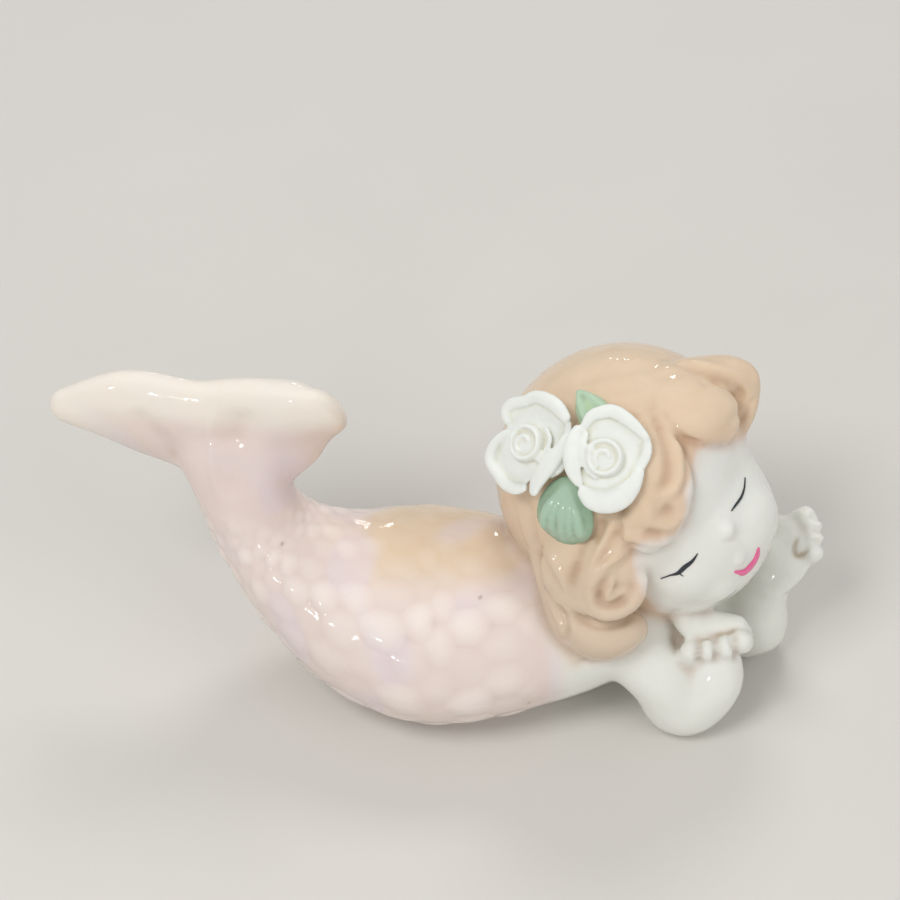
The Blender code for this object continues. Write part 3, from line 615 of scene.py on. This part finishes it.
def inside(places, outline):
    """Distance of places in the view to a closed outline: positive inside, negative outside."""
    corners = np.array(outline)
    nearest = np.full(len(places), np.inf)
    crossings = np.zeros(len(places), dtype=int)
    for a, b in zip(corners, np.roll(corners, -1, axis=0)):
        side = b - a
        share = np.clip((places - a) @ side / (side @ side), 0, 1)
        nearest = np.minimum(nearest, np.linalg.norm(places - a - share[:, None] * side, axis=1))
        level = (a[1] > places[:, 1]) != (b[1] > places[:, 1])
        where = a[0] + side[0] * (places[:, 1] - a[1]) / (side[1] or 1e-9)
        crossings += level & (places[:, 0] < where)
    return np.where(crossings % 2, nearest, -nearest)


def along_path(points, skin, path, width):
    """How near each point is to a path laid on the skin, from 0 to 1, fading at its ends."""
    line = np.array(curve_between([tuple(seen_on(skin, place)) for place in path], STROKE_STEPS))
    # Further out than this the stroke no longer shows
    reach = 2.5 * width
    close = np.all((points > line.min(0) - reach) & (points < line.max(0) + reach), axis=1)
    out = np.zeros(len(points))
    if close.any():
        gap = np.linalg.norm(points[close][:, None] - line[None], axis=2)
        share = gap.argmin(1) / (len(line) - 1)
        fade = np.clip(np.minimum(share, 1 - share) * 5 + 0.15, 0, 1)
        out[close] = np.exp(-(gap.min(1) / width) ** 2) * fade
    return out


def keep(mesh, name, values):
    """Stores one number for each point of a mesh, for its material."""
    made = mesh.attributes.new(name, "FLOAT", "POINT")
    made.data.foreach_set("value", values.astype(np.float32))


def swelling(form, direction, radius, rise):
    """A ball that stands as far above the ball of the face as its rise says."""
    out = Vector(direction).normalized()
    ball(form, Vector(FACE_CENTRE) + out * (FACE_RADIUS + rise - radius), (radius,) * 3)


def lock(form, rows):
    """A flattened lock of hair that lies against the ball of the head."""
    first, last = Vector(rows[0][0]), Vector(rows[-1][0])
    outwards = Vector(rows[len(rows) // 2][0]) - Vector(HAIR_CENTRE)
    limb(form, rows, side=(last - first).cross(outwards))


def curl(form, rows):
    """A round lock that turns on itself."""
    limb(form, rows, side=(0.1, -0.8, 0.6), sides=16)


def hand(form, limbs):
    """A mitten-like hand whose fingers curl back to the palm."""
    for rows in limbs:
        limb(form, rows, side=HANDS_ACROSS, sides=18)


def trunk_lines():
    """Arc length, centre, direction and radius along the middle of the trunk and tail."""
    rows = np.array(curve_between([(*point, wide, high) for point, wide, high in TRUNK], 30))
    steps = np.linalg.norm(np.diff(rows[:, :3], axis=0), axis=1)
    length = np.concatenate(([0], np.cumsum(steps)))
    along = np.gradient(rows[:, :3], axis=0)
    along /= np.linalg.norm(along, axis=1)[:, None]
    return length, rows[:, :3], along, (rows[:, 3] + rows[:, 4]) / 2


def scale_heights(points):
    """Height of the worn-soft fish scales at each point, from 0 to 1."""
    length, centres, along, radius = trunk_lines()
    gap = np.linalg.norm(points[:, None] - centres[None, ::3], axis=2)
    at = gap.argmin(1) * 3
    out = points - centres[at]
    direction = along[at]
    slide = np.einsum("ij,ij->i", out, direction)
    side = np.array((0.0, 1.0, 0.0))
    up = np.cross(direction, side)
    up /= np.linalg.norm(up, axis=1)[:, None]
    across = np.cross(up, direction)
    angle = np.arctan2(np.einsum("ij,ij->i", out, up), np.einsum("ij,ij->i", out, across))
    pitch = 2 * math.pi * radius / SCALES_AROUND * SCALE_PITCH
    rows = np.concatenate(([0], np.cumsum(np.diff(length) / pitch[:-1])))
    row = rows[at] + slide / pitch[at]
    column = (angle / (2 * math.pi) + 0.5) * SCALES_AROUND
    height = np.zeros(len(points))
    for step in (-1, 0, 1):
        base = np.floor(row) + step
        shift = (base % 2) * 0.5
        cell = np.round(column - shift) + shift
        across_cell = (column - cell) / SCALE_HALF_WIDTH
        down_cell = (row - base - 0.5) / SCALE_HALF_LENGTH
        # Uneven like hand-cut scales, from a quarter of the height up to all of it
        size = 0.62 + 0.38 * np.sin(base * 12.9 + (cell % SCALES_AROUND) * 78.2)
        distance = across_cell ** 2 + down_cell ** 2 + 0.5 * down_cell * np.abs(across_cell)
        height = np.maximum(height, size * np.clip(1 - distance, 0, 1))
    return height


def combed(points):
    """Relief of the locks combed down from the crown: soft lobes with grooves between, 0 or less."""
    crown = Vector(TO_CROWN).normalized()
    side = crown.orthogonal().normalized()
    away = points - HAIR_CENTRE
    away /= np.linalg.norm(away, axis=1)[:, None]
    down = np.arccos(np.clip(away @ np.array(crown), -1, 1))
    round_crown = np.arctan2(away @ np.array(crown.cross(side)), away @ np.array(side))
    # The locks turn aside in waves as they fall, and fade at the crown
    turned = round_crown + 0.7 * down + 0.15 * np.sin(3 * down)
    locks = 1 - np.abs(np.sin(turned * LOCKS_AROUND / 2))
    finer = turned * LOCKS_AROUND * STRANDS_IN_A_LOCK / 2
    strands = 1 - np.abs(np.sin(finer + 0.8 * np.sin(2 * down)))
    return -(locks ** 2 + STRAND_DEPTH * strands ** 2) * ramp(down, 0.1, 0.5)


def lilac_clouds(points):
    """Wide soft clouds of the second spray, from 0 to 1."""
    x, y, z = (points / CLOUD_PITCH * 2 * math.pi).T
    wave = np.sin(x + 1.3 * np.sin(0.6 * z)) + np.sin(0.8 * z + 0.7 * x + 2.1)
    wave += np.sin(0.9 * y - 0.5 * x)
    return ramp(wave, 0.2, 1.8)


def shares(mesh, groups):
    """How much of each point of a mesh belongs to each group of forms, which adds up to 1."""
    points, _ = read(mesh)
    near = {}
    for name, forms in groups.items():
        trees = [BVHTree.FromBMesh(form) for form in forms]
        gaps = np.array([min(tree.find_nearest(point)[3] for tree in trees) for point in points])
        near[name] = np.exp(-gaps / SHARE_REACH)
    total = sum(near.values())
    return {name: averaged(values / total, edges_of(mesh), 3) for name, values in near.items()}


def carve(mesh, skin, hair):
    """Works strokes, combed back and temple into the figure; gives how near each point is to the brown
    crease lines.
    """
    points, normals = read(mesh)
    for path, width, rise in HAIR_STROKES + TAIL_STROKES + FINGER_STROKES:
        points += normals * (along_path(points, skin, path, width) * rise)[:, None]
    brown_crease = np.zeros(len(points))
    for path, width, rise in BROWN_CREASES:
        near = along_path(points, skin, path, width)
        points += normals * (near * rise)[:, None]
        brown_crease = np.maximum(brown_crease, near)
    hidden = hair * ramp(normals @ np.array(TO_VIEWER), 0.0, -0.4)
    points += normals * (combed(points) * COMBED_DEPTH * hidden)[:, None]
    temple = np.linalg.norm(points - FAR_TEMPLE, axis=1) / TEMPLE_REACH
    points -= normals * (TEMPLE_DEPTH * np.exp(-temple ** 2))[:, None]
    write(mesh, points)
    return brown_crease


def scale_and_spray(mesh, skin, share, brown_crease):
    """Raises the scales of the figure and stores where each of its colours lies."""
    points, normals = read(mesh)
    ends = edges_of(mesh)
    x, y, z = points.T
    places = in_view(points)
    shown = ramp(normals @ np.array(TO_VIEWER), -0.25, 0.05)
    edge = inside(places, FACE_EDGE)
    head = share["hair"] + share["face"]
    sprayed = head * ramp(edge, FACE_EDGE_BLUR, -FACE_EDGE_BLUR)
    hair = share["hair"] * (1 - shown) + sprayed * shown
    back = share["body"] * ramp(places[:, 1], *BACK_UP_THE_VIEW)
    back = back * ramp(x, *BACK_ALONG) * ramp(z, *BACK_HEIGHT)
    tail = share["body"] * (1 - ramp(x + TAIL_END_SLANT * (y - NEAR_FLANK), *TAIL_END))
    # White over the fluke's top edges and tip: partly glaze pooling, partly a painted highlight
    glaze_tint = share["body"] * np.maximum(ramp(z, *POOLED_HEIGHT), ramp(x, *POOLED_ALONG))
    scale = scale_heights(points) * share["body"] * ramp(x, *SCALES_ALONG) * ramp(z, *SCALES_HEIGHT)
    scale *= 1 - SCALES_WORN * back
    points += normals * (scale * SCALE_DEPTH)[:, None]
    points = points + LAST_SOFTENING * (averaged(points, ends, 1) - points)
    hollow = hollows(points, normals, ends, 10)
    # The table keeps the underside flat
    points[:, 2] = np.maximum(points[:, 2], 0)
    write(mesh, points)

    on_skin = np.array([tuple(seen_on(skin, place)) for place in SPECKS])
    far = np.linalg.norm(points[:, None] - on_skin[None], axis=2).min(1)
    keep(mesh, "hair", averaged(hair, ends, 1))
    # A pinkish band along the hairline: partly the spray's soft edge, partly painted shade under the
    # hair
    keep(mesh, "hairline_spray_and_shade", averaged(np.exp(-(edge / HAIRLINE_BAND_WIDTH) ** 2) * shown * head, ends, 3))
    keep(mesh, "tail", tail)
    keep(mesh, "lilac", tail * lilac_clouds(points))
    keep(mesh, "back", averaged(back, ends, 6))
    # The raised scales are paler: partly their own paler patches, partly a painted highlight of the
    # glaze
    keep(mesh, "scale", scale)
    keep(mesh, "glaze_tint", averaged(glaze_tint, ends, 4))
    # Painted shade, darker in the hollows and creases
    keep(mesh, "painted_hollow_shade", averaged(ramp(hollow, 0.03, 0.22), ends, 2))
    keep(mesh, "brown_crease", brown_crease)
    keep(mesh, "ash", share["hair"] * ramp(z, *ASH_HEIGHT))
    keep(mesh, "speck", np.exp(-(far / SPECK_RADIUS) ** 2))


def figure():
    """The fired figure: one skin, softened like a slip casting under glaze."""
    hair, face, body, arms, detail, features, hands = (bmesh.new() for _ in range(7))
    limb(body, TRUNK, side=(0, 1, 0), sides=40)
    limb(body, LEFT_LOBE, side=(0.2, 0, 1), sides=32)
    limb(body, RIGHT_LOBE, side=(1, 0, -0.4), sides=32)
    limb(body, FLUKE_EDGE, side=(0, 0, 1))
    limb(body, NECK, side=(0, 1, 0))
    ball(body, *BELLY, sides=64)
    ball(hair, HAIR_CENTRE, (HAIR_RADIUS,) * 3, sides=72)
    ball(face, FACE_CENTRE, (FACE_RADIUS,) * 3, sides=72)
    for bump in (NEAR_CHEEK, FAR_CHEEK, CHIN):
        swelling(face, *bump)
    for points in (NEAR_ARM, FAR_ARM):
        rows = [(point, radius, radius) for point, radius in zip(points, ARM_RADII)]
        limb(arms, rows, side=(0, 1, 0))
    core_forms = [form.copy() for form in (hair, face, body, arms)]
    core = fused([mesh_of(form, "core") for form in core_forms], "core", *CORE_FACETS)

    for rows in LOCKS:
        (curl if rows in (CURL, CURL_HEART) else lock)(detail, rows)
    ball(detail, *CURL_FILL)
    for bump in (NOSE, LIPS):
        swelling(features, *bump)
    for limbs in (NEAR_HAND, FAR_HAND):
        hand(hands, limbs)
    shells = [core] + [mesh_of(form.copy(), "detail") for form in (detail, features, hands)]
    mesh = fused(shells, "figure", *SKIN_FACETS)

    share = shares(mesh, {
        "hair": (hair, detail), "face": (face, features), "body": (body,), "arms": (arms,),
        "hands": (hands,),
    })
    skin = BVHTree.FromPolygons([v.co for v in mesh.vertices], [p.vertices for p in mesh.polygons])
    brown_crease = carve(mesh, skin, share["hair"])
    scale_and_spray(mesh, skin, share, brown_crease)
    return mesh


def colour(code):
    """A linear colour from an sRGB hex code."""
    parts = [int(code[i:i + 2], 16) / 255 for i in (1, 3, 5)]
    return (*(c / 12.92 if c <= 0.04045 else ((c + 0.055) / 1.055) ** 2.4 for c in parts), 1.0)


def node(tree, kind, inputs=(), output=0, **settings):
    """Adds a node whose inputs take values, hex codes or nodes' outputs; gives one of its outputs."""
    made = tree.nodes.new("ShaderNode" + kind)
    for name, value in settings.items():
        setattr(made, name, value)
    for key, value in dict(inputs).items():
        if isinstance(value, bpy.types.NodeSocket):
            tree.links.new(value, made.inputs[key])
        else:
            made.inputs[key].default_value = colour(value) if isinstance(value, str) else value
    return made.outputs[output]


def shader(name, base, roughness, **sockets):
    """A new material with the plain values of its Principled shader."""
    made = bpy.data.materials.new(name)
    made.use_nodes = True
    main = made.node_tree.nodes["Principled BSDF"]
    main.inputs["Base Color"].default_value = colour(base)
    main.inputs["Roughness"].default_value = roughness
    for key, value in sockets.items():
        main.inputs[key.replace("_", " ")].default_value = value
    return made, made.node_tree, main


def link(tree, main, **sockets):
    """Links nodes to the sockets of a material's shader."""
    for key, value in sockets.items():
        tree.links.new(value, main.inputs[key.replace("_", " ")])


def glazed_porcelain():
    """Slip-cast porcelain, airbrushed and dipped in clear glaze: soft colour under a wet gloss."""
    made, tree, main = shader(
        "glazed_porcelain", "#E4E4DC", 0.1, Subsurface_Weight=0.12, Subsurface_Scale=0.002, IOR=1.5,
    )
    main.inputs["Subsurface Radius"].default_value = (1.0, 0.7, 0.5)
    place = node(tree, "TexCoord", output="Object")
    # Clouds of the airbrush, patches of thicker glaze, and the soft waves in which it lies
    cloud_size, patch_size, wave_size = 6.0 * MM, 1.6 * MM, 2.6 * MM
    cloud = node(tree, "TexNoise", {
        "Vector": place, "Scale": 1 / cloud_size, "Detail": 4.0, "Roughness": 0.6,
    })
    glaze = node(tree, "TexNoise", {"Vector": place, "Scale": 1 / patch_size, "Detail": 3.0})
    base = node(tree, "Mix", {0: cloud, 6: "#E6E7DF", 7: "#EFEFE9"}, 2, data_type="RGBA")
    # Colour sprayed over the white: region, thin coat, full coat
    for region, thin, full in (
        ("tail", "#DFCCC4", "#EBDCD5"),
        ("back", "#DCC2A4", "#E4CFB4"),
        ("hair", "#DAC0A3", "#EAD4B9"),
    ):
        mask = node(tree, "Attribute", output="Fac", attribute_name=region)
        coat = node(tree, "Mix", {0: cloud, 6: thin, 7: full}, 2, data_type="RGBA")
        base = node(tree, "Mix", {0: mask, 6: base, 7: coat}, 2, data_type="RGBA")
    # What lies over it: mask, strength, colour, how it mixes; some of it is painted highlight and
    # shade
    for region, strength, tint, way in (
        ("ash", 0.5, "#D3C1B0", "MIX"),
        ("lilac", 0.45, "#E0D3DC", "MIX"),
        # Paler on the raised scales: partly their own paler patches, partly a painted highlight of the
        # glaze
        ("scale", 0.75, "#F6ECE4", "MIX"),
        # White over the fluke's top edges and tip: partly glaze pooling, partly a painted highlight
        ("glaze_tint", 0.8, "#F3ECE0", "MIX"),
        # A pinkish band along the hairline: partly the spray's soft edge, partly painted shade under
        # the hair
        ("hairline_spray_and_shade", 0.35, "#E3C3B4", "MIX"),
        # Brownish painted shade in the hollows and creases
        ("painted_hollow_shade", 0.45, "#C29C84", "MULTIPLY"),
        # A brown line along the creases of the hands
        ("brown_crease", 0.6, "#A58C62", "MIX"),
        ("speck", 0.8, "#86705C", "MIX"),
    ):
        mask = node(tree, "Attribute", output="Fac", attribute_name=region)
        amount = node(tree, "Math", {0: mask, 1: strength}, operation="MULTIPLY")
        base = node(tree, "Mix", {
            0: amount, 6: base, 7: tint,
        }, 2, data_type="RGBA", blend_type=way)
    gloss = node(tree, "Math", {0: glaze, 1: 0.08, 2: 0.06}, operation="MULTIPLY_ADD")
    waves = node(tree, "TexNoise", {"Vector": place, "Scale": 1 / wave_size, "Detail": 2.0})
    wavy = node(tree, "Bump", {"Height": waves, "Strength": 0.5, "Distance": 0.16 * MM})
    link(tree, main, Base_Color=base, Roughness=gloss, Normal=wavy)
    return made


def satin_porcelain():
    """Hand-pinched porcelain petals with a thin satin glaze: near matte, with yellowish painted shade
    in the hollows.
    """
    made, tree, main = shader(
        "satin_porcelain", "#EFF1EC", 0.42, Subsurface_Weight=0.1, Subsurface_Scale=0.001,
    )
    main.inputs["Subsurface Radius"].default_value = (1.0, 0.8, 0.6)
    place = node(tree, "TexCoord", output="Object")
    # Finger marks in the paste, and its grain, drawn as coarse as it needs to show
    mark_size, grain_size = 1.5 * MM, 0.5 * MM
    marks = node(tree, "TexNoise", {"Vector": place, "Scale": 1 / mark_size, "Detail": 3.0})
    grain = node(tree, "TexNoise", {"Vector": place, "Scale": 1 / grain_size, "Detail": 3.0})
    base = node(tree, "Mix", {0: marks, 6: "#E8EBE5", 7: "#F1F3EE"}, 2, data_type="RGBA")
    # Yellowish painted shade in the hollows
    painted_hollow_shade = node(tree, "Attribute", output="Fac", attribute_name="painted_hollow_shade")
    glaze_tint = node(tree, "Math", {0: painted_hollow_shade, 1: 0.7}, operation="MULTIPLY")
    base = node(tree, "Mix", {0: glaze_tint, 6: base, 7: "#D8D2B4"}, 2, data_type="RGBA")
    gloss = node(tree, "Math", {0: marks, 1: 0.2, 2: 0.30}, operation="MULTIPLY_ADD")
    rough = node(tree, "Bump", {"Height": grain, "Strength": 0.25, "Distance": 0.04 * MM})
    link(tree, main, Base_Color=base, Roughness=gloss, Normal=rough)
    return made


def green_glaze():
    """Thick sage glaze over a pressed leaf, with a painted highlight along the ridges and painted
    shade in the hollows.
    """
    made, tree, main = shader("sage_glaze", "#A2B79F", 0.12)
    place = node(tree, "TexCoord", output="Object")
    # The green runs together in patches under smaller waves
    patch_size, wave_size = 1.8 * MM, 1.2 * MM
    patches = node(tree, "TexNoise", {
        "Vector": place, "Scale": 1 / patch_size, "Detail": 4.0, "Roughness": 0.6,
    })
    waves = node(tree, "TexNoise", {"Vector": place, "Scale": 1 / wave_size, "Detail": 2.0})
    base = node(tree, "Mix", {0: patches, 6: "#84A086", 7: "#A2BDA2"}, 2, data_type="RGBA")
    # Paler where the green is thin, a painted highlight along the ridges, and painted shade in the
    # hollows
    for mask, tint in (("thin", "#B9CFAA"), ("painted_ridge_highlight", "#BAD6C0"), ("painted_hollow_shade", "#748A70")):
        amount = node(tree, "Attribute", output="Fac", attribute_name=mask)
        base = node(tree, "Mix", {0: amount, 6: base, 7: tint}, 2, data_type="RGBA")
    gloss = node(tree, "Math", {0: patches, 1: 0.1, 2: 0.07}, operation="MULTIPLY_ADD")
    wavy = node(tree, "Bump", {"Height": waves, "Strength": 0.4, "Distance": 0.08 * MM})
    link(tree, main, Base_Color=base, Roughness=gloss, Normal=wavy)
    return made


def enamel(name, dark, light, roughness):
    """Painted overglaze enamel, fired on: a thin even film with brush density."""
    made, tree, main = shader(name, dark, roughness)
    place = node(tree, "TexCoord", output="Object")
    # Marks that the hairs of the brush leave
    hair_pitch = 0.5 * MM
    brush = node(tree, "TexNoise", {"Vector": place, "Scale": 1 / hair_pitch, "Detail": 3.0})
    base = node(tree, "Mix", {0: brush, 6: dark, 7: light}, 2, data_type="RGBA")
    gloss = node(tree, "Math", {0: brush, 1: 0.1, 2: roughness}, operation="MULTIPLY_ADD")
    film = node(tree, "Bump", {"Height": brush, "Strength": 0.2, "Distance": 0.02 * MM})
    link(tree, main, Base_Color=base, Roughness=gloss, Normal=film)
    return made


def pale_floor():
    """Smooth painted board under the studio light, almost even."""
    made, tree, main = shader("pale_floor", "#D9D6D0", 0.7)
    place = node(tree, "TexCoord", output="Object")
    roller_mark = 30 * MM
    marks = node(tree, "TexNoise", {"Vector": place, "Scale": 1 / roller_mark, "Detail": 3.0})
    base = node(tree, "Mix", {0: marks, 6: "#D7D4CE", 7: "#DBD8D2"}, 2, data_type="RGBA")
    link(tree, main, Base_Color=base)
    return made


def piece(name, mesh, look, nodes):
    """Finishes a piece: metres, smooth shading, material, body and the nodes it replaces."""
    mesh.transform(Matrix.Scale(MM, 4))
    mesh.name = name
    mesh.shade_smooth()
    mesh.materials.clear()
    mesh.materials.append(look)
    made = bpy.data.objects.new(name, mesh)
    bpy.context.scene.collection.objects.link(made)
    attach(made, "root")
    if nodes:
        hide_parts(*nodes)


def rose_frame(direction, lean):
    """Local frame of a rose, +Z out of the hair, with its origin under the foot."""
    out = Vector(direction).normalized()
    centre = Vector(HAIR_CENTRE) + out * (HAIR_RADIUS - ROSE_SINK)
    axis = out + TO_VIEWER * lean
    return Matrix.Translation(centre) @ axis.to_track_quat("Z", "Y").to_matrix().to_4x4()


def petal(form, placed, lip):
    """One pinched petal: a cupped sheet that leaves the bud for a thick rolled lip."""
    axis = placed.to_3x3() @ Vector((0, 0, 1))
    inwards = placed.inverted()
    rows = []
    for right, up, height, wide in lip:
        aim = LOOKED_AT + TO_THE_RIGHT * right + UPWARDS * up
        on_lip = intersect_line_plane(VIEWER, aim, placed @ Vector((0, 0, height)), axis)
        rows.append((*(inwards @ on_lip), wide))
    edge = curve_between(rows, 4)
    last = len(edge) - 1
    grid = bmesh.ops.create_grid(form, x_segments=16, y_segments=last, size=1.0)["verts"]
    for point in grid:
        u = (point.co.x + 1) / 2
        x, y, z, _ = edge[round((point.co.y + 1) / 2 * last)]
        # From the bud, a fifth of the way out, the sheet rises more and more steeply
        out = 0.2 + 0.8 * u
        height = PETAL_FOOT + (z - PETAL_FOOT) * (0.4 * u + 0.6 * u ** 2)
        point.co = placed @ Vector((x * out, y * out, height))
    faces = {face for point in grid for face in point.link_faces}
    bmesh.ops.solidify(form, geom=list(faces), thickness=PETAL_THICKNESS)
    bar = [(tuple(placed @ Vector(row[:3])), LIP_HEIGHT * row[3], row[3]) for row in rows]
    limb(form, bar, side=axis, steps=4, sides=14)


def coil(form, placed, first, turns, start, end, low, top):
    """A strip wound round the rose's axis on its edge."""
    steps = round(STEPS_IN_A_TURN * turns)
    middle = (low + top) / 2
    rows = []
    for i in range(steps + 1):
        share = i / steps
        angle = first + 2 * math.pi * turns * share
        out = start + (end - start) * share
        point = placed @ Vector((out * math.cos(angle), out * math.sin(angle), middle))
        rows.append((tuple(point), (top - low) / 2, COIL_THICKNESS))
    limb(form, rows, side=placed.to_3x3() @ Vector((0, 0, 1)), steps=1, sides=14)


def rose(placed, petals, turned):
    """A rose in one skin: foot, cushion and bud, petals, and the coils of the bud."""
    form = bmesh.new()
    lower, upper, depth, middle = ROSE_FOOT
    bmesh.ops.create_cone(
        form, cap_ends=True, segments=32, radius1=lower, radius2=upper, depth=depth,
        matrix=placed @ Matrix.Translation((0, 0, middle)),
    )
    ball(form, *ROSE_CUSHION, placed)
    ball(form, *ROSE_BUD, placed)
    for lip in petals:
        petal(form, placed, lip)
    for first, *strip in COILS:
        coil(form, placed, turned + first, *strip)
    mesh = fused([mesh_of(form, "rose")], "rose", *ROSE_FACETS)
    points, normals = read(mesh)
    ends = edges_of(mesh)
    # Painted shade in the hollows
    keep(mesh, "painted_hollow_shade", averaged(ramp(hollows(points, normals, ends, 12), 0.02, 0.16), ends, 2))
    return mesh


def leaf_frame(middle, tip):
    """Local frame of a leaf that shows at two places in the view: +X to its tip, +Z out."""
    centre = Vector(HAIR_CENTRE)
    on_ball = []
    for right, up in (middle, tip):
        aim = LOOKED_AT + TO_THE_RIGHT * right + UPWARDS * up
        crossings = intersect_line_sphere(VIEWER, aim, centre, HAIR_RADIUS, False)
        on_ball.append(max(crossings, key=TO_VIEWER.dot))
    out = (on_ball[0] - centre).normalized()
    across = out.cross(on_ball[1] - on_ball[0]).normalized()
    axes = Matrix((across.cross(out), across, out)).transposed()
    return Matrix.Translation(centre + out * HAIR_RADIUS) @ axes.to_4x4()


def leaf(placed, body, ridges, thin):
    """A thick pressed leaf: a low dome with ridges that spread from its stalk end."""
    across = placed.to_3x3() @ Vector((0, 1, 0))
    form = bmesh.new()
    crests = bmesh.new()
    for into, limbs in ((form, (body,)), (crests, ridges)):
        for rows in limbs:
            rows = [(tuple(placed @ Vector(point)), wide, high) for point, wide, high in rows]
            limb(into, rows, side=across, sides=24)
    shells = [mesh_of(form, "leaf"), mesh_of(crests.copy(), "crests")]
    mesh = fused(shells, "leaf", *LEAF_FACETS)
    points, normals = read(mesh)
    ends = edges_of(mesh)
    tree = BVHTree.FromBMesh(crests)
    gaps = np.array([tree.find_nearest(point)[3] for point in points])
    # Painted shade in the hollows, and a painted highlight along the ridges
    keep(mesh, "painted_hollow_shade", averaged(ramp(hollows(points, normals, ends, 12), 0.01, 0.10), ends, 2))
    keep(mesh, "painted_ridge_highlight", averaged(1 - ramp(gaps, 0.0, RIDGE_HIGHLIGHT_REACH), ends, 3) * RIDGE_HIGHLIGHT_STRENGTH)
    keep(mesh, "thin", np.full(len(points), thin))
    return mesh


def painted(tree, path, widths):
    """A brush stroke of enamel laid on the skin along a path in the view."""
    rows = []
    for place, width in zip(path, widths):
        found, normal = tree.find_nearest(seen_on(tree, place))[:2]
        rows.append((tuple(found + normal * PAINT_LIFT), width, PAINT_THICKNESS))
    form = bmesh.new()
    middle = tree.find_nearest(Vector(rows[len(rows) // 2][0]))[1]
    along = Vector(rows[-1][0]) - Vector(rows[0][0])
    limb(form, rows, side=along.cross(middle), steps=8, sides=10)
    return form


def area_light(name, at, size, watts, mirrored):
    """A round lamp; one that isn't mirrored lights the glaze without a highlight."""
    lamp = bpy.data.lights.new(name, "AREA")
    lamp.shape = "DISK"
    lamp.size = size
    lamp.energy = watts
    made = bpy.data.objects.new(name, lamp)
    made.location = at
    made.rotation_euler = (Vector(LAMPS_AIM) - Vector(at)).to_track_quat("-Z", "Y").to_euler()
    made.visible_glossy = mirrored
    bpy.context.scene.collection.objects.link(made)


def studio():
    """A pale floor, soft lamps, and the camera at the photograph's angle."""
    form = bmesh.new()
    placed = Matrix.Translation((0, 0, -FLOOR_GAP))
    bmesh.ops.create_grid(form, x_segments=1, y_segments=1, size=FLOOR_HALF_WIDTH, matrix=placed)
    ground = bpy.data.objects.new("floor", mesh_of(form, "floor"))
    bpy.context.scene.collection.objects.link(ground)
    ground.data.materials.append(pale_floor())

    camera = bpy.data.objects.new("camera", bpy.data.cameras.new("camera"))
    camera.location = VIEWER * MM
    camera.rotation_euler = (-TO_VIEWER).to_track_quat("-Z", "Y").to_euler()
    camera.data.sensor_width = SENSOR_WIDTH
    camera.data.lens = FOCAL_LENGTH
    camera.data.clip_start = 0.01
    bpy.context.scene.collection.objects.link(camera)
    bpy.context.scene.camera = camera

    for lamp in LAMPS:
        area_light(*lamp)
    world = bpy.data.worlds.new("studio")
    bpy.context.scene.world = world
    world.use_nodes = True
    sky = world.node_tree.nodes["Background"]
    sky.inputs["Color"].default_value = colour("#FFFFFF")
    sky.inputs["Strength"].default_value = SKY_STRENGTH
    bpy.context.scene.view_settings.view_transform = "Standard"


def main():
    """Makes every piece of the mermaid, and the studio round her."""
    porcelain = glazed_porcelain()
    satin = satin_porcelain()
    green = green_glaze()
    black = enamel("black_enamel", "#23262B", "#3B3F45", 0.25)
    pink = enamel("pink_enamel", "#EE4E92", "#F77FAE", 0.2)

    skin = figure()
    tree = BVHTree.FromPolygons([v.co for v in skin.vertices], [p.vertices for p in skin.polygons])
    # The strokes are laid before the skin goes from millimetres to metres
    for name, stroke, look in (
        ("near_lash", NEAR_LASH, black), ("near_lash_flick", NEAR_LASH_FLICK, black),
        ("far_lash", FAR_LASH, black), ("mouth", MOUTH, pink),
    ):
        piece(name, mesh_of(painted(tree, *stroke), name), look, ())
    piece("mermaid_figure_skin", skin, porcelain, ("mermaid_figure",))

    front = Vector(TO_FRONT_ROSE).normalized()
    sideways = front.cross(Vector(TO_BACK_ROSE)).normalized()
    back = Matrix.Rotation(2 * math.asin(ROSE_PITCH / HAIR_RADIUS), 3, sideways) @ front
    for name, direction, lean, petals, turned in (
        ("front", front, 0.0, FRONT_PETALS, FRONT_TURN),
        ("back", back, BACK_ROSE_LEAN, BACK_PETALS, BACK_TURN),
    ):
        mesh = rose(rose_frame(direction, lean), petals, turned)
        piece("rose_" + name + "_petals", mesh, satin, ("rose_" + name,))
    for name, (middle, tip, *form) in (("lower", LOWER_LEAF), ("upper", UPPER_LEAF)):
        mesh = leaf(leaf_frame(middle, tip), *form)
        piece("leaf_" + name + "_pressed", mesh, green, ("leaf_" + name,))
    studio()


main()
